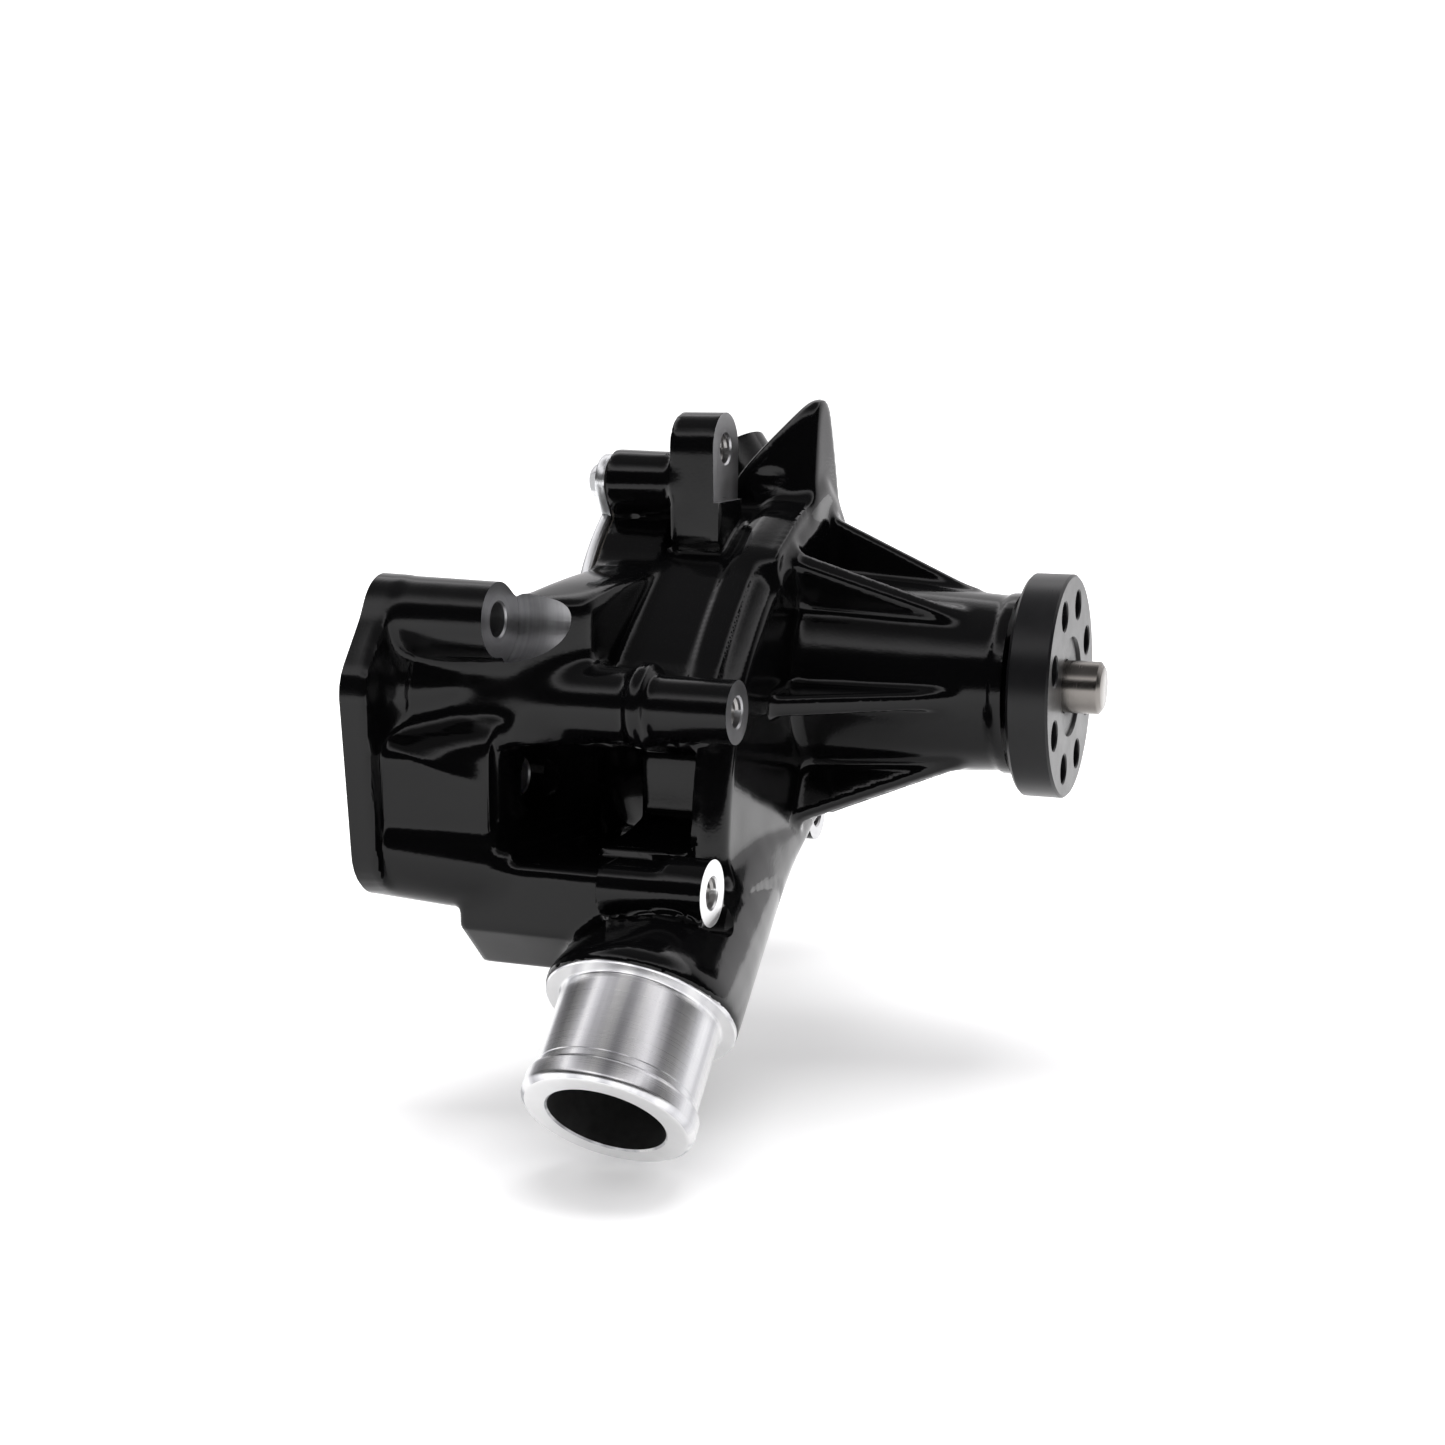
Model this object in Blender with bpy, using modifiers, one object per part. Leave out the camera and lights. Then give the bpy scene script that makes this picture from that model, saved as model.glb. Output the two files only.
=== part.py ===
"""Long-leg V8 coolant pump, as an assembly of separate parts.

Frame: metres, +X along the shaft towards the pulley, +Z up, +Y to the far side.
The origin is where the shaft axis meets the plane of the two block faces.
Dimensions below are in millimetres and are scaled to metres when a mesh is made.
"""

import math

import bmesh
import bpy
from mathutils import Matrix, Vector

MM = 0.001
GAP = 0.3                      # clearance left between touching pieces

# Driving dimensions
HUB_HEIGHT = 176.2             # block face to pulley face of the hub
SHAFT_R = 7.94                 # pilot and impeller journals
JOURNAL_R = 9.2                # shaft inside the bearing
HUB_R = 33.8
HUB_THICK = 12.5
HUB_HOLE_PCR = 25.2
HUB_HOLE_R = 4.4
HUB_HOLE_PHASE = 27.0          # degrees from +Y to the first hole
SNOUT_END_X = 158.0
FRONT_X = 97.0                 # front face of the body
REAR_X = 42.1                  # rear face of the body, where the gasket lies
CHAMBER_R = 49.0
COVER_R = 62.0
BEARING_X = (103.0, 156.0)
RACE_R = 19.05
RACE_BORE_R = 17.05
BALL_R = 3.6
BALL_PITCH_R = 13.13
BALL_COUNT = 8
ROW_X = (113.0, 146.0)         # ball rows, rear and front
RIB_ANGLES = (127, 80, 29, -21, -71, -121, -176)
RIB_THICK = 5.0
BOLT_HOLE_R = 4.9
COVER_SCREWS = (
    (-32.0, 60.5), (32.0, 54.0), (57.0, -7.0), (30.0, -53.0), (-30.0, -53.0), (-57.0, -7.0),
)
# Outline of the volute across the shaft, as (y, z); it reaches furthest towards the inlet
VOLUTE = (
    (0.0, 53.0), (-18.0, 50.5), (-32.0, 44.0), (-46.0, 35.5), (-62.0, 21.0), (-76.0, 6.5), (-84.0, -10.0),
    (-88.0, -30.0), (-88.5, -46.0), (-80.0, -60.0), (-58.0, -64.0), (-28.0, -56.0), (0.0, -53.0),
    (37.5, -37.5), (53.0, 0.0), (37.5, 37.5),
)

# Inlet neck: centre of its shoulder ring, outward direction, sizes
NECK_BASE = Vector((87.6, -125.6, -75.6))
NECK_AXIS = Vector((0.0, -0.731, -0.683)).normalized()
NECK_LENGTH = 32.0
NECK_R = 22.2
NECK_BEAD_R = 23.7
NECK_RING_R = 26.5
NECK_BORE_R = 16.2

# Machined faces, each as (X of the face, Y, Z, radius)
UPPER_BOSS = (101.0, 87.0, 1.2, 9.0)
LOWER_BOSS = (101.0, 106.5, -45.5, 9.2)
FAR_LOWER_BOSS = (72.0, 74.0, -62.0, 9.2)
BLOCK_BOLT = (36.0, 102.7, 26.0, 10.6)
INNER_BOLT = (31.0, 79.0, -23.0)
EAR = (77.0, -32.0, 71.0, 10.8)
PORT_BASE = Vector((70.0, 27.0, 46.0))
PORT_AXIS = Vector((-0.55, 0.15, 0.82)).normalized()
PORT_LENGTH = 26.0
PORT_R = 11.5

COLOURS = {
    "black_cast": ((0.012, 0.012, 0.014), 0.22, 0.0),
    "satin_black": ((0.02, 0.02, 0.022), 0.45, 0.2),
    "steel": ((0.56, 0.55, 0.53), 0.3, 1.0),
    "bearing_steel": ((0.62, 0.62, 0.63), 0.18, 1.0),
    "zinc": ((0.72, 0.73, 0.74), 0.32, 1.0),
    "cast_iron": ((0.16, 0.16, 0.165), 0.6, 0.6),
    "brass": ((0.78, 0.6, 0.28), 0.3, 1.0),
    "rubber": ((0.02, 0.02, 0.02), 0.75, 0.0),
    "carbon": ((0.05, 0.05, 0.055), 0.5, 0.0),
    "ceramic": ((0.85, 0.84, 0.8), 0.25, 0.0),
    "gasket": ((0.3, 0.24, 0.18), 0.85, 0.0),
}


# ---------------------------------------------------------------- scene set-up

for old in list(bpy.data.objects):
    bpy.data.objects.remove(old)


def new_collection(name, hidden=False):
    made = bpy.data.collections.new(name)
    made.hide_render = hidden
    bpy.context.scene.collection.children.link(made)
    return made


PUMP = new_collection("coolant_pump")
CUTTERS = new_collection("cutters", hidden=True)


def material(slot):
    found = bpy.data.materials.get(slot)
    if found:
        return found
    colour, roughness, metallic = COLOURS[slot]
    made = bpy.data.materials.new(slot)
    made.use_nodes = True
    shader = made.node_tree.nodes["Principled BSDF"]
    shader.inputs["Base Color"].default_value = (*colour, 1.0)
    shader.inputs["Roughness"].default_value = roughness
    shader.inputs["Metallic"].default_value = metallic
    made.diffuse_color = (*colour, 1.0)
    return made


def turn_to(direction):
    """Rotation that takes +Z to the direction."""
    return Vector(direction).to_track_quat("Z", "Y").to_matrix().to_4x4()


# ------------------------------------------------------- shapes, in millimetres

def add_cone(bm, start, direction, length, radius, end_radius=None, sides=32):
    """Closed cylinder or cone from start along direction."""
    direction = Vector(direction).normalized()
    centre = Vector(start) + direction * (length / 2)
    bmesh.ops.create_cone(
        bm, cap_ends=True, cap_tris=False, segments=sides,
        radius1=radius, radius2=radius if end_radius is None else end_radius,
        depth=length, matrix=Matrix.Translation(centre) @ turn_to(direction),
    )


def rod_x(x0, x1, y, z, radius, end_radius=None, sides=32):
    """Cylinder along +X, from x0 to x1."""
    bm = bmesh.new()
    add_cone(bm, (x0, y, z), (1, 0, 0), x1 - x0, radius, end_radius, sides)
    return bm


def rod(start, direction, length, radius, end_radius=None, sides=32):
    bm = bmesh.new()
    add_cone(bm, start, direction, length, radius, end_radius, sides)
    return bm


def disc(x, y, z, radius, sides=16):
    """Thin disc facing +X, one end of a hull."""
    return rod_x(x - 0.5, x + 0.5, y, z, radius, sides=sides)


def ball(centre, radius, sides=14):
    bm = bmesh.new()
    bmesh.ops.create_uvsphere(
        bm, u_segments=sides, v_segments=sides // 2, radius=radius, matrix=Matrix.Translation(centre)
    )
    return bm


def block(low, high):
    bm = bmesh.new()
    size = Vector(high) - Vector(low)
    centre = (Vector(high) + Vector(low)) / 2
    bmesh.ops.create_cube(bm, size=1.0, matrix=Matrix.Translation(centre) @ Matrix.Diagonal((*size, 1.0)))
    return bm


def corners(points):
    """Loose points, one part of a hull."""
    bm = bmesh.new()
    for point in points:
        bm.verts.new(point)
    return bm


def hull(*shapes):
    """Convex hull round several shapes: a loft between unlike sections."""
    bm = bmesh.new()
    for shape in shapes:
        for vertex in shape.verts:
            bm.verts.new(vertex.co)
        shape.free()
    found = bmesh.ops.convex_hull(bm, input=bm.verts)
    spare = {item for item in found["geom_interior"] if isinstance(item, bmesh.types.BMVert)}
    bmesh.ops.delete(bm, geom=list(spare), context="VERTS")
    bmesh.ops.dissolve_limit(bm, angle_limit=math.radians(0.5), verts=bm.verts, edges=bm.edges)
    return bm


def mirrored(bm, side):
    """The shape as it is for side -1, or mirrored in the plane Y = 0 for side +1."""
    if side > 0:
        bmesh.ops.scale(bm, vec=(1, -1, 1), verts=bm.verts)
        bmesh.ops.reverse_faces(bm, faces=bm.faces)
    return bm


def add_object(name, bm, collection, slot=None, about=(0, 0, 0), smooth=35):
    """Object from a shape in millimetres, with its origin at the point about, also in millimetres."""
    bmesh.ops.translate(bm, vec=-Vector(about), verts=bm.verts)
    bmesh.ops.scale(bm, vec=(MM, MM, MM), verts=bm.verts)
    mesh = bpy.data.meshes.new(name)
    bm.to_mesh(mesh)
    bm.free()
    mesh.shade_smooth()
    mesh.set_sharp_from_angle(angle=math.radians(smooth))
    made = bpy.data.objects.new(name, mesh)
    made.location = Vector(about) * MM
    collection.objects.link(made)
    if slot:
        mesh.materials.append(material(slot))
    else:
        made.hide_render = True
        made.display_type = "WIRE"
    return made


def combine(target, shapes, operation, label):
    """Joins or cuts all the shapes at once, with one Boolean on a collection of their own."""
    group = bpy.data.collections.new(label)
    group.hide_render = True
    CUTTERS.children.link(group)
    for index, bm in enumerate(shapes):
        add_object(f"{label}_{index + 1}", bm, group)
    modifier = target.modifiers.new(label, "BOOLEAN")
    modifier.operation = operation
    modifier.solver = "EXACT"
    modifier.operand_type = "COLLECTION"
    modifier.collection = group


def turned(name, profile, slot, sides=32):
    """Closed ring or rod turned about the shaft axis. The profile is a closed loop of (x, radius)."""
    mesh = bpy.data.meshes.new(name)
    points = [(radius * MM, 0.0, x * MM) for x, radius in profile]
    count = len(points)
    on_axis = profile[0][1] == 0.0
    edges = [(i, i + 1) for i in range(count - 1)]
    if not on_axis:
        edges.append((count - 1, 0))
    mesh.from_pydata(points, edges, [])
    made = bpy.data.objects.new(name, mesh)
    made.rotation_euler = (0.0, math.radians(90), 0.0)
    PUMP.objects.link(made)
    mesh.materials.append(material(slot))
    screw = made.modifiers.new("turn", "SCREW")
    screw.axis = "Z"
    screw.steps = sides
    screw.render_steps = sides
    screw.use_merge_vertices = True
    screw.merge_threshold = 0.00001
    screw.use_smooth_shade = True
    return made


def ring_profile(x0, x1, inner, outer):
    """Rectangle section of a ring, in the order that turns into outward faces."""
    return [(x1, inner), (x1, outer), (x0, outer), (x0, inner)]


def empty(name, x=0.0):
    made = bpy.data.objects.new(name, None)
    made.location = (x * MM, 0.0, 0.0)
    made.empty_display_size = 0.03
    PUMP.objects.link(made)
    return made


# --------------------------------------------------------------- pump housing

def leg_solids(side):
    """Block leg, its side arm to the volute and its bolt boss, on the side -Y (-1) or +Y (+1)."""
    bolt_x, bolt_y, bolt_z, bolt_r = BLOCK_BOLT
    flange = ((102.7, 24.0, 12.5), (115.0, 6.0, 14.0), (110.5, -38.0, 14.5), (86.0, -34.0, 15.0), (88.0, 14.0, 16.0))
    wall_foot = ((121.0, -17.0, 5.2), (110.5, -38.0, 14.2), (84.0, -36.0, 13.0), (84.0, -8.0, 8.0))
    wall_front = ((102.0, -13.0, 4.5), (92.5, -46.0, 14.0), (84.0, -34.0, 12.0), (84.0, -8.0, 8.0))
    flare_foot = ((102.0, 6.0, 19.0), (84.0, 12.0, 19.0), (84.0, -10.0, 10.0))
    flare_middle = ((94.5, 4.0, 14.6), (83.0, 12.0, 13.5), (83.0, -9.0, 9.0))
    flare_tip = ((87.5, 2.0, 10.6), (82.0, 12.0, 8.0), (82.0, -8.0, 8.0))

    def section(x, circles):
        return [disc(x, -y, z, r) for y, z, r in circles]

    shapes = [
        hull(*section(0.5, flange), *section(7.5, flange)),
        hull(*section(0.6, wall_foot), *section(33.3, wall_front)),
        hull(*section(6.0, flare_foot), *section(14.0, flare_middle)),
        hull(*section(13.9, flare_middle), *section(30.0, flare_tip)),
        rod_x(0.0, bolt_x + 1.0, -bolt_y, bolt_z, bolt_r, sides=20),
        # web from the flare up to the bolt boss
        hull(disc(6.0, -98.0, 14.0, 8.0), disc(6.0, -84.0, 24.0, 9.0), disc(32.0, -90.0, 14.0, 6.0),
             disc(32.0, -84.0, 24.0, 6.0)),
        # arm to the volute
        hull(block((43, -60, -12), (62, -44, 36)), block((36, -98, -14), (44, -84, 28)),
             block((44, -88, -14), (54, -80, 30)), block((30, -98, -12), (40, -86, 26))),
        # web that closes the back of the pocket, and the inner bolt's boss in it
        hull(block((29, -100, -50), (37, -84, -4)), block((38, -62, -48), (48, -44, -4))),
        rod_x(0.0, INNER_BOLT[0] + 1.0, -INNER_BOLT[1], INNER_BOLT[2], 10.5, sides=24),
    ]
    return [mirrored(shape, side) for shape in shapes]


def accessory_boss(side, face, thick_r, thick_x):
    """Threaded accessory boss: a thick root and a slimmer end."""
    x, y, z, r = face
    return [
        rod_x(12.0, thick_x, side * y, z, thick_r, sides=20),
        rod_x(thick_x - 6.0, x, side * y, z, r, sides=20),
    ]


def snout_rib(angle):
    """Triangular gusset between the front face and the bearing snout."""
    half = RIB_THICK / 2
    section = [(84.0, 20.0), (84.0, 49.0), (FRONT_X, 50.0), (146.0, 27.5), (146.0, 20.0)]
    bm = bmesh.new()
    for x, radius in section:
        taper = half * (1.0 - 0.35 * (x - 84.0) / 62.0)
        for offset in (-taper, taper):
            bm.verts.new((x, radius, offset))
    shape = hull(bm)
    bmesh.ops.rotate(shape, cent=(0, 0, 0), matrix=Matrix.Rotation(math.radians(angle), 3, "X"), verts=shape.verts)
    return shape


def volute_section(x, scale):
    """The volute outline at X, shrunk towards its middle."""
    middle_y, middle_z = -17.0, -4.0
    return corners((x, middle_y + (y - middle_y) * scale, middle_z + (z - middle_z) * scale) for y, z in VOLUTE)


def housing_solids():
    """Everything that is cast: body, snout, legs, arms, tower, ear and inlet passage."""
    lower_x, lower_y, lower_z, lower_r = LOWER_BOSS
    ear_x, ear_y, ear_z, ear_r = EAR
    solids = [
        rod_x(REAR_X - 1.0, 66.0, 0, 0, 61.0, 57.0, sides=48),
        hull(volute_section(60.8, 1.0), volute_section(89.5, 0.985), volute_section(94.5, 0.95),
             volute_section(FRONT_X, 0.9)),
        rod_x(90.0, SNOUT_END_X, 0, 0, 31.0, 26.6, sides=40),
        # inlet passage, from the chamber down to the shoulder ring of the neck
        hull(
            corners((
                (52, -92, -69), (52, -74, -84), (88, -86, -62), (96.6, -86, -52), (96.6, -60, -45), (96.6, -20, -49),
                (96.6, -35, -61), (96.6, -53, -75), (64, -20, -49), (64, -35, -58), (64, -56, -78),
            )),
            rod(NECK_BASE - NECK_AXIS * 4.0, NECK_AXIS, 3.0, NECK_RING_R + 1.0),
        ),
        # lower arm with its flat side, and the boss in front of it
        hull(block((25, -106.5, -62), (77, -70, -46)), block((30, -92, -74), (74, -60, -62))),
        rod_x(70.0, lower_x, -lower_y, lower_z, lower_r, sides=20),
        # top ear and the cover-screw boss behind it
        hull(disc(ear_x + 0.2, ear_y, ear_z, ear_r, 24), disc(64.0, ear_y, ear_z, ear_r, 24),
             block((63.5, ear_y - ear_r, 40), (ear_x + 0.7, ear_y + ear_r, 50))),
        rod_x(REAR_X - 0.8, 66.0, -32.0, 60.5, 9.2, sides=24),
        # tower: a wedge with an upright front face, on a skirt that spreads over the body
        hull(disc(FRONT_X - 0.5, 3.0, 76.0, 9.5, 20), block((88, -8, 50), (FRONT_X, 18, 56)),
             block((70, -10, 44), (76, 16, 63))),
        hull(block((86, -34, 30), (FRONT_X - 0.2, 24, 41)), block((72, -24, 30), (FRONT_X - 0.2, 19, 53))),
        # rear-facing port boss on the top
        rod(PORT_BASE, PORT_AXIS, PORT_LENGTH, PORT_R + 1.0, PORT_R, sides=20),
        # accessory bosses, with a collar on the near upper one
        *accessory_boss(1, FAR_LOWER_BOSS, 11.0, 52.0),
        *accessory_boss(1, UPPER_BOSS, 10.9, 74.0),
        *accessory_boss(-1, UPPER_BOSS, 10.9, 74.0),
        rod_x(73.0, 77.0, -UPPER_BOSS[1], UPPER_BOSS[2], 12.6, sides=20),
        # inlet neck: shoulder ring, barrel and bead
        rod(NECK_BASE - NECK_AXIS * 2.0, NECK_AXIS, 4.0, NECK_RING_R, sides=40),
        rod(NECK_BASE - NECK_AXIS * 2.0, NECK_AXIS, NECK_LENGTH + 2.0, NECK_R, sides=40),
        rod(NECK_BASE + NECK_AXIS * (NECK_LENGTH - 7.0), NECK_AXIS, 7.0, NECK_BEAD_R, sides=40),
        # far lower arm
        hull(disc(46.0, 66.0, -52.0, 13.0), disc(30.0, 90.0, -34.0, 13.0), disc(46.0, 40.0, -30.0, 13.0)),
    ]
    for y, z in COVER_SCREWS:
        solids.append(rod_x(REAR_X - 0.6, 60.0, y, z, 8.0, sides=20))
    for side in (-1, 1):
        solids.extend(leg_solids(side))
    for angle in RIB_ANGLES:
        solids.append(snout_rib(angle))
    return solids


def blind_hole(face, depth, radius):
    """Hole drilled back from a machined face given as (x, y, z, boss radius)."""
    x, y, z, _ = face
    return rod_x(x - depth, x + 1.0, y, z, radius, sides=16)


def housing_hollows():
    """Chambers, passages and every drilled or machined hole."""
    neck_end = NECK_BASE + NECK_AXIS * (NECK_LENGTH + 1.0)
    hollows = [
        rod_x(REAR_X - 2.0, 64.0, 0, 0, CHAMBER_R, sides=48),
        rod_x(60.0, 69.0, 0, 0, 26.0, sides=32),
        rod_x(68.0, 90.0, 0, 0, 37.0, sides=40),
        rod_x(89.0, 97.5, 0, 0, 18.4, sides=32),
        rod_x(97.0, 103.0, 0, 0, 15.5, sides=32),
        rod_x(102.7, SNOUT_END_X + 1.0, 0, 0, RACE_R + GAP, sides=40),
        rod((100.0, 0, 0), (0.1, 0, -1), 45.0, 2.6, sides=12),
        # inlet passage: the straight bore, then a bend that narrows under the pocket
        rod(neck_end, -NECK_AXIS, 38.0, NECK_BORE_R, sides=32),
        hull(ball((87.6, -121.9, -72.2), 13.6), ball((82.0, -101.0, -75.5), 10.6)),
        hull(ball((82.2, -101.6, -75.4), 10.9), ball((78.0, -80.0, -71.5), 8.2)),
        hull(ball((78.1, -80.5, -71.6), 8.5), ball((78.0, -56.0, -56.0), 8.9)),
        hull(ball((78.0, -56.6, -56.4), 9.2), ball((79.0, -30.0, -14.0), 10.8)),
        rod(PORT_BASE + PORT_AXIS * (PORT_LENGTH + 1.0), -PORT_AXIS, 24.0, 8.8, sides=20),
        rod_x(EAR[0] - 15.0, EAR[0] + 1.0, EAR[1], EAR[2], 4.4, sides=16),
        rod_x(EAR[0], EAR[0] + 12.0, EAR[1], EAR[2], EAR[3] + 6.0, sides=24),
        blind_hole((UPPER_BOSS[0], -UPPER_BOSS[1], UPPER_BOSS[2], UPPER_BOSS[3]), 24.0, 4.3),
        blind_hole(UPPER_BOSS, 24.0, 4.3),
        blind_hole((LOWER_BOSS[0], -LOWER_BOSS[1], LOWER_BOSS[2], LOWER_BOSS[3]), 20.0, 4.3),
        blind_hole(FAR_LOWER_BOSS, 20.0, 4.3),
        # pocket under the upper boss, open to the near side
        hull(block((35.4, -120, -39), (88, -76, -10.5)), block((48, -76, -36), (84, -61, -16))),
        rod_x(BLOCK_BOLT[0], 58.0, -BLOCK_BOLT[1], BLOCK_BOLT[2], 13.0, sides=20),
        rod_x(BLOCK_BOLT[0], 58.0, BLOCK_BOLT[1], BLOCK_BOLT[2], 13.0, sides=20),
        # clearance behind the rear cover, between the legs
        hull(disc(-2.0, 0, 0, 71.0, 44), disc(REAR_X - 0.5, 0, 0, 68.0, 44)),
    ]
    for y, z in COVER_SCREWS:
        hollows.append(rod_x(30.0, REAR_X, y, z, 10.2, sides=20))
        hollows.append(rod_x(REAR_X - 2.5, REAR_X + 12.0, y, z, 2.9, sides=12))
    for side in (-1, 1):
        port = [disc(-1.0, -103.0, -4.0, 11.0), disc(12.0, -96.0, -6.0, 9.0),
                disc(-1.0, -103.0, -24.0, 9.5), disc(12.0, -98.0, -22.0, 8.5)]
        inward = [disc(11.4, -96.2, -6.2, 8.7), disc(11.4, -98.2, -21.6, 8.1),
                  disc(24.0, -89.0, 0.0, 6.6), disc(24.0, -89.0, -8.0, 6.0)]
        across = [ball((22.6, -88.6, 0.6), 6.9), ball((50.0, -74.0, 9.0), 7.6)]
        entry = [ball((50.6, -74.4, 9.3), 7.9), ball((53.0, -36.0, 12.0), 9.3)]
        for group in (port, inward, across, entry):
            hollows.append(mirrored(hull(*group), side))
        hollows.append(rod_x(-1.0, 60.0, side * BLOCK_BOLT[1], BLOCK_BOLT[2], BOLT_HOLE_R, sides=16))
        hollows.append(rod_x(-1.0, 60.0, side * INNER_BOLT[1], INNER_BOLT[2], BOLT_HOLE_R, sides=16))
        hollows.append(rod_x(INNER_BOLT[0], 60.0, side * INNER_BOLT[1], INNER_BOLT[2], 10.0, sides=24))
    return hollows


def build_housing():
    solids = housing_solids()
    body = add_object("pump_housing", solids[0], PUMP, "black_cast")
    combine(body, solids[1:], "UNION", "casting")
    combine(body, housing_hollows(), "DIFFERENCE", "hollows")
    return body


# ------------------------------------------------------------------ rear cover

def cover_outline(plate_r, lobe_r, steps=72):
    """Round outline with a lobe at each cover screw, as (y, z) points."""
    points = []
    for step in range(steps):
        angle = 2 * math.pi * step / steps
        ray = (math.cos(angle), math.sin(angle))
        reach = plate_r
        for y, z in COVER_SCREWS:
            along = y * ray[0] + z * ray[1]
            off = abs(y * ray[1] - z * ray[0])
            if along > 0 and off < lobe_r:
                reach = max(reach, along + math.sqrt(lobe_r * lobe_r - off * off))
        points.append((reach * ray[0], reach * ray[1]))
    return points


def flat_plate(name, outline, x0, x1, slot):
    """Plate facing +X: a filled 2D curve, extruded and turned into a mesh."""
    data = bpy.data.curves.new(name, "CURVE")
    data.dimensions = "2D"
    data.fill_mode = "BOTH"
    data.extrude = (x1 - x0) / 2
    spline = data.splines.new("POLY")
    spline.points.add(len(outline) - 1)
    for point, (y, z) in zip(spline.points, outline):
        point.co = (y, z, 0.0, 1.0)
    spline.use_cyclic_u = True
    drawn = bpy.data.objects.new(name, data)
    PUMP.objects.link(drawn)
    flat = bpy.data.meshes.new_from_object(drawn.evaluated_get(bpy.context.evaluated_depsgraph_get()))
    bpy.data.objects.remove(drawn)
    bm = bmesh.new()
    bm.from_mesh(flat)
    bmesh.ops.remove_doubles(bm, verts=bm.verts, dist=0.001)
    to_yz = Matrix(((0, 0, 1, (x0 + x1) / 2), (1, 0, 0, 0), (0, 1, 0, 0), (0, 0, 0, 1)))
    bmesh.ops.transform(bm, matrix=to_yz, verts=bm.verts)
    return add_object(name, bm, PUMP, slot)


def build_cover():
    outline = cover_outline(COVER_R, 8.4)
    cover = flat_plate("rear_cover", outline, 37.7, 40.7, "zinc")
    holes = [rod_x(37.0, 41.0, y, z, 3.1, sides=12) for y, z in COVER_SCREWS]
    combine(cover, holes, "DIFFERENCE", "cover_holes")

    gasket = flat_plate("rear_cover_gasket", cover_outline(COVER_R - 2.0, 7.6), 41.0, 41.8, "gasket")
    holes = [rod_x(40.5, 42.5, y, z, 3.1, sides=12) for y, z in COVER_SCREWS]
    holes.append(rod_x(40.5, 42.5, 0, 0, CHAMBER_R, sides=48))
    combine(gasket, holes, "DIFFERENCE", "gasket_holes")

    for index, (y, z) in enumerate(COVER_SCREWS):
        screw = add_object(f"cover_screw_{index + 1}", rod_x(34.2, 37.4, y, z, 5.2, sides=6), PUMP, "zinc",
                           about=(37.4, y, z))
        combine(screw, [rod_x(36.0, REAR_X + 10.0, y, z, 2.6, sides=12)], "UNION", f"screw_shank_{index + 1}")


# --------------------------------------------------------------- rotating parts

def build_rotor():
    spin = empty("shaft_axis", 130.0)

    def on_spin(made):
        made.parent = spin
        made.matrix_parent_inverse = spin.matrix_basis.inverted()
        return made

    end = HUB_HEIGHT + 10.0
    on_spin(turned("bearing_shaft", [
        (end, 0.0), (end, SHAFT_R - 1.0), (end - 1.0, SHAFT_R), (159.0, SHAFT_R), (157.5, JOURNAL_R),
        (103.0, JOURNAL_R), (102.1, SHAFT_R), (44.5, SHAFT_R), (43.5, SHAFT_R - 1.0), (43.5, 0.0),
    ], "steel", sides=32))

    hub = add_object("pulley_hub", rod_x(HUB_HEIGHT - HUB_THICK, HUB_HEIGHT, 0, 0, HUB_R, sides=48), PUMP,
                     "satin_black", about=(130.0, 0, 0))
    bevel = hub.modifiers.new("edge", "BEVEL")
    bevel.width = 0.8 * MM
    bevel.segments = 1
    bevel.limit_method = "ANGLE"
    combine(hub, [rod_x(160.6, HUB_HEIGHT - 3.0, 0, 0, 13.5, sides=32)], "UNION", "hub_neck")
    holes = [rod_x(160.0, HUB_HEIGHT + 1.0, 0, 0, SHAFT_R + GAP, sides=32)]
    for index in range(8):
        angle = math.radians(HUB_HOLE_PHASE + 45.0 * index)
        y = HUB_HOLE_PCR * math.cos(angle)
        z = HUB_HOLE_PCR * math.sin(angle)
        holes.append(rod_x(160.0, HUB_HEIGHT + 1.0, y, z, HUB_HOLE_R, sides=14))
    holes.append(rod_x(HUB_HEIGHT - 1.0, HUB_HEIGHT + 1.0, 0, 0, 15.0, sides=32))
    combine(hub, holes, "DIFFERENCE", "hub_holes")
    on_spin(hub)

    on_spin(turned("slinger", [
        (101.8, SHAFT_R + GAP), (101.8, 9.6), (99.2, 14.0), (98.4, 14.0), (98.4, SHAFT_R + GAP),
    ], "rubber", sides=24))

    impeller = add_object("impeller", rod_x(45.2, 48.0, 0, 0, 45.0, sides=40), PUMP, "cast_iron",
                          about=(130.0, 0, 0))
    vanes = [rod_x(46.5, 65.0, 0, 0, 12.5, 11.5, sides=24)]
    for index in range(6):
        vanes.append(impeller_vane(60.0 * index))
    combine(impeller, vanes, "UNION", "vanes")
    combine(impeller, [rod_x(44.0, 67.0, 0, 0, SHAFT_R + GAP, sides=32)], "DIFFERENCE", "impeller_bore")
    on_spin(impeller)

    on_spin(turned("seal_seat_boot", [
        (70.0, SHAFT_R + GAP), (70.0, 9.6), (68.0, 9.6), (68.0, 13.6), (66.0, 13.6), (66.0, SHAFT_R + GAP),
    ], "rubber", sides=24))
    on_spin(turned("seal_seat", ring_profile(68.3, 73.0, 9.9, 13.6), "ceramic", sides=24))


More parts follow.
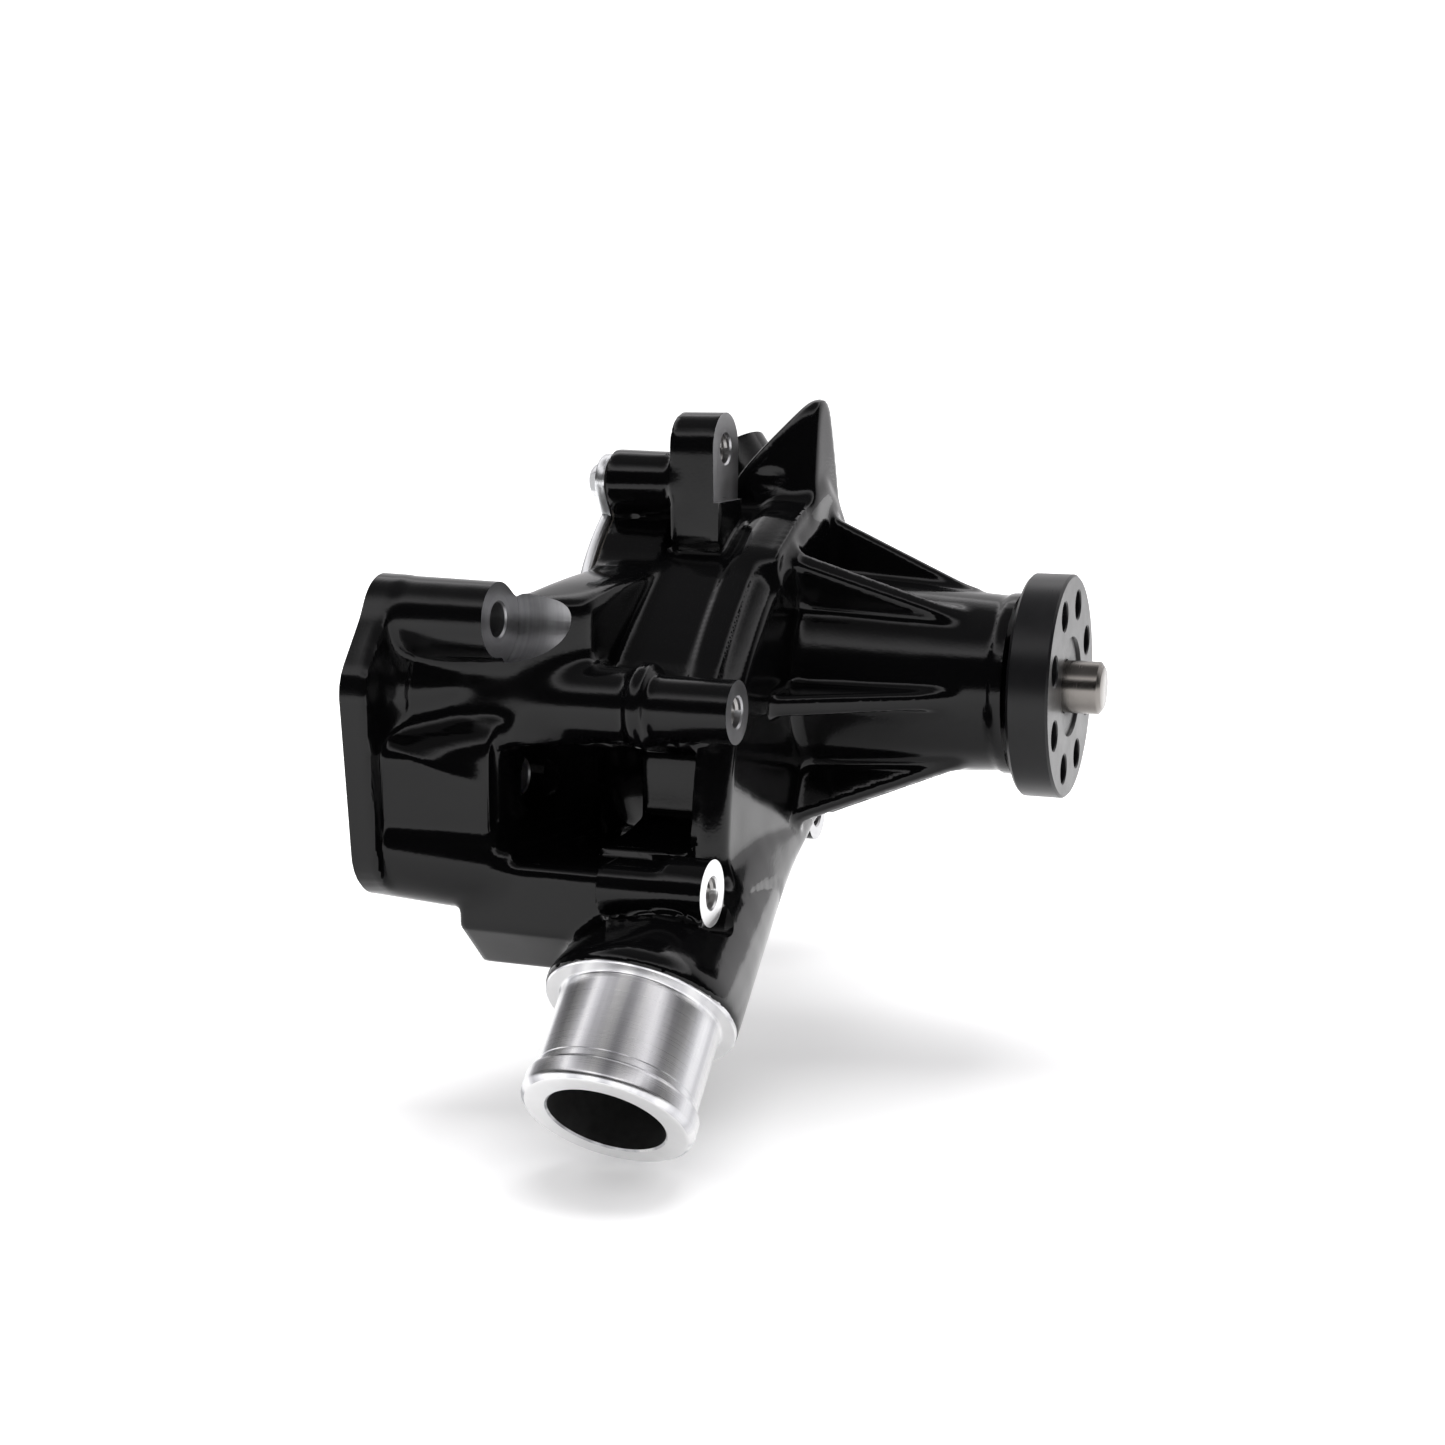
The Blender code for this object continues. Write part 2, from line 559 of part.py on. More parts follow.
def impeller_vane(angle):
    """Swept-back vane: an arc wall standing on the impeller disc."""
    steps = 5
    inner, outer = [], []
    for i in range(steps + 1):
        t = i / steps
        radius = 11.0 + 33.0 * t
        sweep = math.radians(angle + 48.0 * t)
        for side, half in ((outer, 1.5), (inner, -1.5)):
            y = radius * math.cos(sweep) - half * math.sin(sweep)
            z = radius * math.sin(sweep) + half * math.cos(sweep)
            side.append((y, z))
    outline = outer + inner[::-1]
    bm = bmesh.new()
    base = [bm.verts.new((47.0, y, z)) for y, z in outline]
    face = bm.faces.new(base)
    made = bmesh.ops.extrude_face_region(bm, geom=[face])
    top = [item for item in made["geom"] if isinstance(item, bmesh.types.BMVert)]
    bmesh.ops.translate(bm, vec=(15.0, 0, 0), verts=top)
    bmesh.ops.recalc_face_normals(bm, faces=bm.faces)
    return bm


# ---------------------------------------------------------------------- bearing

def build_bearing():
    start, end = BEARING_X
    turned("bearing_outer_race", ring_profile(start, end, RACE_BORE_R, RACE_R), "bearing_steel", sides=40)
    for name, x in (("bearing_shield_rear", start + 1.0), ("bearing_shield_front", end - 3.0)):
        turned(name, ring_profile(x, x + 2.0, JOURNAL_R + GAP, RACE_BORE_R - GAP), "rubber", sides=20)
    for row, x in zip(("rear", "front"), ROW_X):
        axis = empty(f"{row}_cage_axis", x)
        cage = add_object(f"{row}_ball_cage", rod_x(x - 5.2, x + 5.2, 0, 0, BALL_PITCH_R + 1.5, sides=32), PUMP,
                          "brass", about=(x, 0, 0))
        cuts = [rod_x(x - 6.0, x + 6.0, 0, 0, BALL_PITCH_R - 1.2, sides=32)]
        shared = None
        for index in range(BALL_COUNT):
            angle = 2 * math.pi * index / BALL_COUNT
            outward = Vector((0, math.cos(angle), math.sin(angle)))
            centre = Vector((x, 0, 0)) + outward * BALL_PITCH_R
            cuts.append(rod(centre - outward * 4.0, outward, 8.0, BALL_R + GAP, sides=10))
            if shared is None:
                first = bmesh.new()
                bmesh.ops.create_icosphere(first, subdivisions=2, radius=BALL_R)
                made = add_object(f"{row}_ball_{index + 1}", first, PUMP, "bearing_steel", smooth=180)
                shared = made.data
            else:
                made = bpy.data.objects.new(f"{row}_ball_{index + 1}", shared)
                PUMP.objects.link(made)
            made.location = centre * MM
            made.parent = axis
            made.matrix_parent_inverse = axis.matrix_basis.inverted()
        combine(cage, cuts, "DIFFERENCE", f"{row}_pockets")
        cage.parent = axis
        cage.matrix_parent_inverse = axis.matrix_basis.inverted()


# ------------------------------------------------------------------- shaft seal

def build_seal():
    turned("seal_carbon_ring", ring_profile(73.3, 77.0, 9.9, 13.4), "carbon", sides=24)
    turned("seal_bellows", [
        (92.0, 9.7), (92.0, 12.3), (82.0, 11.1), (80.0, 13.2), (77.3, 13.2), (77.3, 9.7),
    ], "rubber", sides=24)
    turned("seal_cup", [
        (96.5, 9.9), (96.5, 18.0), (88.6, 18.0), (88.6, 20.5), (87.8, 20.5),
        (87.8, 17.2), (95.7, 17.2), (95.7, 9.9),
    ], "brass", sides=32)
    build_spring()


def build_spring():
    """Coil spring round the bellows, flat wound."""
    turns, per_turn = 4, 12
    radius, wire = 14.9, 0.8
    low, high = 81.5, 93.5
    data = bpy.data.curves.new("seal_spring", "CURVE")
    data.dimensions = "3D"
    data.bevel_depth = wire * MM
    data.bevel_resolution = 1
    data.use_fill_caps = True
    spline = data.splines.new("POLY")
    count = turns * per_turn
    spline.points.add(count)
    for index, point in enumerate(spline.points):
        angle = 2 * math.pi * index / per_turn
        x = low + (high - low) * index / count
        point.co = (x * MM, radius * math.cos(angle) * MM, radius * math.sin(angle) * MM, 1.0)
    made = bpy.data.objects.new("seal_spring", data)
    data.materials.append(material("steel"))
    PUMP.objects.link(made)
    weld = made.modifiers.new("caps", "WELD")
    weld.merge_threshold = 0.00001


build_housing()
build_cover()
build_rotor()
build_bearing()
build_seal()
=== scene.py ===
"""Long-leg coolant pump: the looks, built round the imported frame.

The casting is modelled as one signed distance field, so that every root has a cast fillet.
Its machined faces and holes are then cut crisp with Booleans. Shapes are in millimetres in the
frame's axes, +X towards the hub, +Z up, and become metres when a mesh is made.
"""

import collections
import math

import bmesh
import bpy
import numpy as np
from mathutils import Matrix, Vector


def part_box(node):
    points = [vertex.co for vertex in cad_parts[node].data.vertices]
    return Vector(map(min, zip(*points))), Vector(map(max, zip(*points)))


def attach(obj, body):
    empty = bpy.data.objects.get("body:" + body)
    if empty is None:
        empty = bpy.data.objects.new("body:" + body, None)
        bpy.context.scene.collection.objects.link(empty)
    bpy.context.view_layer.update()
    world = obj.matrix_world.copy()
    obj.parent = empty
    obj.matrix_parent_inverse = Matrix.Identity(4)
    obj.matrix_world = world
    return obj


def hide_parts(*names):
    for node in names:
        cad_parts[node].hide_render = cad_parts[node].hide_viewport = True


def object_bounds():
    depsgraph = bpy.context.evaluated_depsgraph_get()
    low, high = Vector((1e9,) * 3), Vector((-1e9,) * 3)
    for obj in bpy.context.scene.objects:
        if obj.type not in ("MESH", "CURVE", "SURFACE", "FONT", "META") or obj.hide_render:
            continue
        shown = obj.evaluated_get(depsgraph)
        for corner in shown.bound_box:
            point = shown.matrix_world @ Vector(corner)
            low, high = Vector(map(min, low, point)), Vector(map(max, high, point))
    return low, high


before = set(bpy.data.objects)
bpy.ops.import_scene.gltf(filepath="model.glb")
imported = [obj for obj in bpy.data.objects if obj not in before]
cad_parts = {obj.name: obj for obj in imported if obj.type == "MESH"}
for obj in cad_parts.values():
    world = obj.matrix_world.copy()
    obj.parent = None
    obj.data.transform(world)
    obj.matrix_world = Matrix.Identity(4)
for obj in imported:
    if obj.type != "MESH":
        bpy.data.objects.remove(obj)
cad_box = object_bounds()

MM = 0.001
PITCH = 1.3  # grid of the casting's distance field
FAR = 30.0  # distance written where nothing is near
GAP = 0.3  # clearance in the bores of the hub and the snout


def node_box(name):
    low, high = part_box(name)
    return Vector(low) / MM, Vector(high) / MM


# Sizes read from the CAD's nodes
HUB_LOW, HUB_HIGH = node_box("pulley_hub")
HUB_BACK, HUB_FACE, HUB_R = HUB_LOW.x, HUB_HIGH.x, HUB_HIGH.y
COVER_LOW, COVER_HIGH = node_box("rear_cover")
SHAFT_END = node_box("bearing_shaft")[1].x
RACE_R = node_box("bearing_outer_race")[1].y

# Sizes that repeat the CAD's; its snout is 2.8 shorter
REAR_X = 42.1  # seat of the rear cover
FRONT_X = 97.0  # front face of the volute
SNOUT_END_X = 160.8
SHAFT_R = 7.94
CHAMBER_R = 49.0
RIB_ANGLES = (127, 80, 29, -21, -71, -121, -176)
HUB_HOLES = 8
HUB_HOLE_PHASE = 27.0  # degrees from +Y to the first hole
HUB_HOLE_CIRCLE_R = 25.2
HUB_HOLE_R = 4.4
HUB_SLEEVE_R = 13.5
HUB_DISC = 12.5  # thickness of its disc

# Bosses and ears, as x of the machined face, y, z and outer radius
UPPER_BOSS = (101.0, 87.0, 1.2, 9.0)
LOWER_BOSS = (101.0, 106.5, -45.5, 9.2)
FAR_LOWER_BOSS = (72.0, 74.0, -62.0, 9.2)
BLOCK_BOLT = (36.0, 102.7, 26.0, 10.6)
INNER_BOLT = (31.0, 79.0, -23.0, 10.5)
EAR = (77.0, -32.0, 71.0, 10.8)
TAP_R = 4.3  # tapped hole of a boss
BOLT_HOLE_R = 4.9
THREAD_PITCH = 1.25

COVER_SCREWS = ((-32.0, 60.5), (32.0, 54.0), (57.0, -7.0), (30.0, -53.0), (-30.0, -53.0), (-57.0, -7.0))
COVER_R = 62.0
COVER_LOBE_R = 8.4  # round each screw
HEAD_FRONT_X = 37.0  # underside of the screw heads

NECK_BASE = Vector((87.6, -125.6, -75.6))
NECK_AXIS = Vector((0.0, -0.731, -0.683)).normalized()
NECK_LENGTH = 32.0
NECK_RING_R = 26.5
NECK_BARREL_R = 22.2
NECK_BORE_R = 16.2
PORT_BASE = Vector((70.0, 27.0, 46.0))
PORT_AXIS = Vector((-0.55, 0.15, 0.82)).normalized()
PORT_LENGTH = 26.0
PORT_BORE_R = 8.8

# Studio, in metres
LENS, SENSOR = 53.27, 36.0
CAMERA_AT = (0.3026, -0.6336, 0.0985)
CAMERA_FORWARD = (-0.3475, 0.9223, -0.1693)
LIT_POINT = Vector((0.09, -0.03, -0.01))
SOFTBOX = 2.2  # brightness of the overhead softbox in reflections
BACKDROP = 1.3  # brightness of the surround that the camera sees
FLOOR_R = 3.2


# ---------------- distance shapes

Shape = collections.namedtuple("Shape", "distance low high")


def smooth_min(a, b, blend):
    if blend <= 0:
        return np.minimum(a, b)
    near = np.maximum(blend - np.abs(a - b), 0.0) / blend
    return np.minimum(a, b) - near * near * (blend / 4)


def rounded_join(a, b, edge):
    """Intersection of two distances, with the edge between them rounded."""
    a = a + edge
    b = b + edge
    outside = np.sqrt(np.maximum(a, 0.0) ** 2 + np.maximum(b, 0.0) ** 2)
    return np.minimum(np.maximum(a, b), 0.0) + outside - edge


def outline_distance(u, v, corners):
    """Signed distance to a closed polygon of (u, v) corners, negative inside."""
    nearest = np.full(np.broadcast(u, v).shape, 1e9, np.float32)
    inside = np.zeros(nearest.shape, bool)
    before = corners[-1]
    for corner in corners:
        edge_u, edge_v = before[0] - corner[0], before[1] - corner[1]
        from_u, from_v = u - corner[0], v - corner[1]
        along = np.clip((from_u * edge_u + from_v * edge_v) / (edge_u ** 2 + edge_v ** 2), 0.0, 1.0)
        nearest = np.minimum(nearest, (from_u - edge_u * along) ** 2 + (from_v - edge_v * along) ** 2)
        crosses = (v >= corner[1]) != (v >= before[1])
        left = (edge_v * from_u < edge_u * from_v) if edge_v > 0 else (edge_v * from_u > edge_u * from_v)
        inside ^= crosses & left
        before = corner
    return np.where(inside, -1.0, 1.0) * np.sqrt(nearest)


def round_hull(circles, steps=28):
    """Convex outline round circles given as (u, v, radius)."""
    points = []
    for u, v, radius in circles:
        for step in range(steps):
            angle = 2 * math.pi * step / steps
            at = (u + radius * math.cos(angle), v + radius * math.sin(angle))
            points.append((round(at[0], 4), round(at[1], 4)))
    points = sorted(set(points))

    def chain(ordered):
        kept = []
        for p in ordered:
            while len(kept) > 1:
                a, b = kept[-2], kept[-1]
                if (b[0] - a[0]) * (p[1] - a[1]) - (b[1] - a[1]) * (p[0] - a[0]) > 1e-6:
                    break
                kept.pop()
            kept.append(p)
        return kept[:-1]

    return chain(points) + chain(points[::-1])


def softened(corners, rounds=3):
    """Outline with its corners cut round and round again."""
    for _ in range(rounds):
        cut = []
        for a, b in zip(corners, corners[1:] + corners[:1]):
            cut.append((a[0] * 0.75 + b[0] * 0.25, a[1] * 0.75 + b[1] * 0.25))
            cut.append((a[0] * 0.25 + b[0] * 0.75, a[1] * 0.25 + b[1] * 0.75))
        corners = cut
    return corners


def cone(start, end, first, last=None, edge=1.5):
    """Round bar from start to end, with rounded rims."""
    start = np.array(start, float)
    end = np.array(end, float)
    last = first if last is None else last
    length = float(np.linalg.norm(end - start))
    axis = (end - start) / length

    def distance(x, y, z):
        dx, dy, dz = x - start[0], y - start[1], z - start[2]
        along = dx * axis[0] + dy * axis[1] + dz * axis[2]
        across = np.sqrt(np.maximum(dx * dx + dy * dy + dz * dz - along * along, 0.0))
        radius = first + (last - first) * np.clip(along / length, 0.0, 1.0)
        return rounded_join(across - radius, np.abs(along - length / 2) - length / 2, edge)

    spread = max(first, last) * np.sqrt(np.maximum(1 - axis ** 2, 0.0))
    return Shape(distance, np.minimum(start, end) - spread, np.maximum(start, end) + spread)


def post(x0, x1, y, z, first, last=None, edge=1.5):
    return cone((x0, y, z), (x1, y, z), first, last, edge)


def loft(x0, x1, first, last=None, bend=1.0, draft=0.0, edge=1.5):
    """Solid along X whose (y, z) section runs from the first outline to the last, or shrinks by draft."""
    def distance(x, y, z):
        part = np.clip((x - x0) / (x1 - x0), 0.0, 1.0) ** bend
        section = outline_distance(y, z, first)
        if last is not None:
            section = section * (1 - part) + outline_distance(y, z, last) * part
        return rounded_join(section + draft * part, np.abs(x - (x0 + x1) / 2) - (x1 - x0) / 2, edge)

    corners = np.array(list(first) + list(last or []), float)
    low, high = corners.min(0), corners.max(0)
    return Shape(distance, np.array((x0, low[0], low[1])), np.array((x1, high[0], high[1])))


def gusset(angle, corners, root_half, tip_half, edge):
    """Plate in the plane through the shaft axis at an angle, with (x, radius) corners.

    Half its thickness tapers along X from root_half to tip_half.
    """
    turn = math.radians(angle)
    across = np.array((-math.sin(turn), math.cos(turn)))
    outward = np.array((math.cos(turn), math.sin(turn)))
    x0, x1 = min(c[0] for c in corners), max(c[0] for c in corners)

    def distance(x, y, z):
        radius = y * outward[0] + z * outward[1]
        aside = y * across[0] + z * across[1]
        half = root_half + (tip_half - root_half) * np.clip((x - x0) / (x1 - x0), 0.0, 1.0)
        return rounded_join(outline_distance(x, radius, corners), np.abs(aside) - half, edge)

    ends = [outward * c[1] + across * side * root_half for c in corners for side in (-1, 1)]
    low, high = np.min(ends, axis=0), np.max(ends, axis=0)
    return Shape(distance, np.array((x0, low[0], low[1])), np.array((x1, high[0], high[1])))


def convex(points, soft=1.2, swell=0.6):
    """Convex solid round points, from the planes of its hull, with edges rounded by about soft."""
    bm = bmesh.new()
    for point in points:
        bm.verts.new(point)
    bmesh.ops.convex_hull(bm, input=bm.verts)
    bm.normal_update()
    planes = set()
    for face in bm.faces:
        n = face.normal
        planes.add((round(n.x, 2), round(n.y, 2), round(n.z, 2), round(n.dot(face.verts[0].co), 1)))
    bm.free()
    planes = sorted(planes)

    def distance(x, y, z):
        total = 0.0
        for a, b, c, reach in planes:
            total = total + np.exp(np.clip((x * a + y * b + z * c - reach) / soft, -60.0, 60.0))
        return soft * np.log(total + 1e-30) - swell

    cloud = np.array([tuple(p) for p in points])
    return Shape(distance, cloud.min(0), cloud.max(0))


def corners_of(low, high):
    return [(x, y, z) for x in (low[0], high[0]) for y in (low[1], high[1]) for z in (low[2], high[2])]


def ring_points(centre, axis, radius, count=28):
    turn = Vector(axis).to_track_quat("Z", "Y").to_matrix()
    made = []
    for step in range(count):
        angle = 2 * math.pi * step / count
        made.append(Vector(centre) + turn @ Vector((radius * math.cos(angle), radius * math.sin(angle), 0)))
    return [tuple(p) for p in made]


def blob(centre, radii):
    """Ellipsoid, for dished hollows."""
    centre, radii = np.array(centre, float), np.array(radii, float)

    def distance(x, y, z):
        u, v, w = (x - centre[0]) / radii[0], (y - centre[1]) / radii[1], (z - centre[2]) / radii[2]
        reach = np.sqrt(u * u + v * v + w * w)
        slope = np.sqrt((u / radii[0]) ** 2 + (v / radii[1]) ** 2 + (w / radii[2]) ** 2)
        return reach * (reach - 1.0) / np.maximum(slope, 1e-4)

    return Shape(distance, centre - radii, centre + radii)


def mirrored(shape, side):
    """The shape as it is for side -1, or mirrored in the plane Y = 0 for side +1."""
    if side < 0:
        return shape
    flip = np.array((1.0, -1.0, 1.0))
    low, high = shape.low * flip, shape.high * flip
    return Shape(lambda x, y, z: shape.distance(x, -y, z), np.minimum(low, high), np.maximum(low, high))


# ---------------- distance field

def merged(value, other, blend, sign):
    """Adds the other solid for sign +1, or cuts it away for sign -1."""
    return sign * smooth_min(sign * value, other, blend)


def field_on_grid(steps, low, high, pitch):
    axes = [np.arange(low[i], high[i] + pitch, pitch, dtype=np.float32) for i in range(3)]
    value = np.full([len(a) for a in axes], FAR, np.float32)
    for shape, blend, sign in steps:
        reach = blend + 2 * pitch
        part = []
        for i in range(3):
            start, stop = np.searchsorted(axes[i], (shape.low[i] - reach, shape.high[i] + reach))
            part.append(slice(start, stop))
        part = tuple(part)
        x = axes[0][part[0], None, None]
        y = axes[1][None, part[1], None]
        z = axes[2][None, None, part[2]]
        value[part] = merged(value[part], shape.distance(x, y, z), blend, sign)
    return value


def field_at(steps, points):
    value = np.full(len(points), FAR)
    for shape, blend, sign in steps:
        reach = blend + 3.0
        near = np.all((points > shape.low - reach) & (points < shape.high + reach), axis=1)
        x, y, z = points[near].T
        value[near] = merged(value[near], shape.distance(x, y, z), blend, sign)
    return value


def surface_net(value, low, pitch):
    """Dual mesh of the zero surface: a vertex in each cell that it crosses, a quad across each grid edge."""
    inside = value < 0
    count = np.zeros([n - 1 for n in value.shape], np.uint8)
    ends = (slice(None, -1), slice(1, None))
    for i in (0, 1):
        for j in (0, 1):
            for k in (0, 1):
                count += inside[ends[i], ends[j], ends[k]]
    crossed = (count > 0) & (count < 8)
    cells = np.argwhere(crossed)
    number = np.full(crossed.shape, -1, np.int32)
    number[crossed] = np.arange(len(cells))

    total = np.zeros((len(cells), 3))
    hits = np.zeros(len(cells))
    for axis in range(3):
        for one in (0, 1):
            for two in (0, 1):
                corner = np.insert(np.array((one, two)), axis, 0)
                other = corner.copy()
                other[axis] = 1
                a = value[tuple((cells + corner).T)]
                b = value[tuple((cells + other).T)]
                cut = (a < 0) != (b < 0)
                part = a[cut] / (a[cut] - b[cut])
                total[cut] += corner
                total[cut, axis] += part
                hits[cut] += 1
    points = np.array(low) + pitch * (cells + total / hits[:, None])

    quads = []
    for axis in range(3):
        lower = [slice(1, -1)] * 3
        upper = [slice(1, -1)] * 3
        lower[axis], upper[axis] = slice(0, -1), slice(1, None)
        first, second = inside[tuple(lower)], inside[tuple(upper)]
        shift = np.ones(3, int)
        shift[axis] = 0
        at = np.argwhere(first != second) + shift
        leaving = first[first != second]
        one, two = np.eye(3, dtype=int)[(axis + 1) % 3], np.eye(3, dtype=int)[(axis + 2) % 3]
        around = (-one - two, -two, np.zeros(3, int), -one)
        ring = [number[tuple((at + step).T)] for step in around]
        ring = np.stack(ring, axis=1)
        ring[~leaving] = ring[~leaving][:, ::-1]
        quads.append(ring)
    return points, np.concatenate(quads)


def relaxed(points, quads, share=0.6):
    """Points drawn part of the way to the mean of their neighbours, which evens out the mesh."""
    starts = quads.ravel()
    ends = np.roll(quads, -1, axis=1).ravel()
    first, second = np.concatenate((starts, ends)), np.concatenate((ends, starts))
    count = np.bincount(first, minlength=len(points))
    sums = [np.bincount(first, points[second, axis], len(points)) for axis in range(3)]
    mean = np.stack([total / count for total in sums], axis=1)
    return points + share * (mean - points)


def settled(steps, points, pitch, rounds=2):
    """Points moved onto the exact zero surface of the field."""
    step = 0.15
    for _ in range(rounds):
        value = field_at(steps, points)
        slope = np.zeros_like(points)
        for axis in range(3):
            shift = np.zeros(3)
            shift[axis] = step
            rise = field_at(steps, points + shift) - field_at(steps, points - shift)
            slope[:, axis] = rise / (2 * step)
        size = np.maximum((slope ** 2).sum(1), 0.2)
        move = slope * (value / size)[:, None]
        length = np.sqrt((move ** 2).sum(1))
        move *= (np.minimum(length, 0.5 * pitch) / np.maximum(length, 1e-9))[:, None]
        points = points - move
    return points


# ---------------- the casting

def leg_steps(side):
    """Block leg on the side -Y (-1) or +Y (+1): flange, wall, bolt boss and the arm to the volute."""
    bolt_x, bolt_y, bolt_z, bolt_r = BLOCK_BOLT
    inner_x, inner_y, inner_z, inner_r = INNER_BOLT
    flange = round_hull([(-102.7, 24.0, 12.5), (-115.0, 6.0, 14.0), (-110.5, -38.0, 14.5),
                         (-86.0, -34.0, 15.0), (-88.0, 14.0, 16.0)])
    wall_foot = round_hull([(-116.5, -12.0, 10.0), (-110.5, -38.0, 14.6), (-84.0, -36.0, 13.0),
                            (-84.0, -8.0, 8.0)])
    wall_front = round_hull([(-97.8, -12.5, 8.7), (-92.5, -46.0, 14.0), (-84.0, -34.0, 12.0),
                             (-84.0, -8.0, 8.0)])
    flare_foot = round_hull([(-102.0, 6.0, 19.0), (-84.0, 12.0, 19.0), (-84.0, -10.0, 10.0)])
    flare_tip = round_hull([(-87.5, 2.0, 10.4), (-82.0, 12.0, 8.0), (-82.0, -8.0, 8.0)])
    made = [
        (loft(-2.0, 8.0, flange, draft=0.5, edge=1.0), 0.5),
        (loft(-2.0, 33.8, wall_foot, wall_front, edge=1.2), 1.5),
        (loft(6.0, 30.0, flare_foot, flare_tip, bend=0.55, edge=2.0), 8.0),
        (post(-2.0, bolt_x + 1.5, -bolt_y, bolt_z, bolt_r + 1.0, bolt_r, edge=0.6), 3.0),
        (loft(4.0, 34.0, round_hull([(-98.0, 12.0, 9.0), (-84.0, 24.0, 9.0), (-84.0, 0.0, 9.0)]),
              round_hull([(-90.0, 12.0, 6.0), (-84.0, 24.0, 6.0), (-84.0, 0.0, 6.0)])), 7.0),
        (convex(corners_of((41, -62, -12), (61, -44, 36)) + corners_of((36, -99, -12), (40, -70, 31))
                + corners_of((50, -88, -12), (56, -70, 30)) + corners_of((30, -98, -12), (40, -86, 24)),
                soft=1.2, swell=0.6), 5.0),
        (cone((-2.0, -109.6, -38.0), (33.4, -92.6, -45.6), 15.2, 15.2, edge=1.2), 1.0),
        (convex(corners_of((29, -101, -50), (37, -84, -4)) + corners_of((38, -62, -48), (48, -44, -4))), 4.0),
        (post(0.0, inner_x + 1.0, -inner_y, inner_z, inner_r, edge=1.0), 3.0),
    ]
    groove = blob((10.6, -128.0, 9.0), (2.4, 9.0, 20.0))
    made = [(mirrored(shape, side), blend, 1.0) for shape, blend in made]
    return made + [(mirrored(groove, side), 1.2, -1.0)]


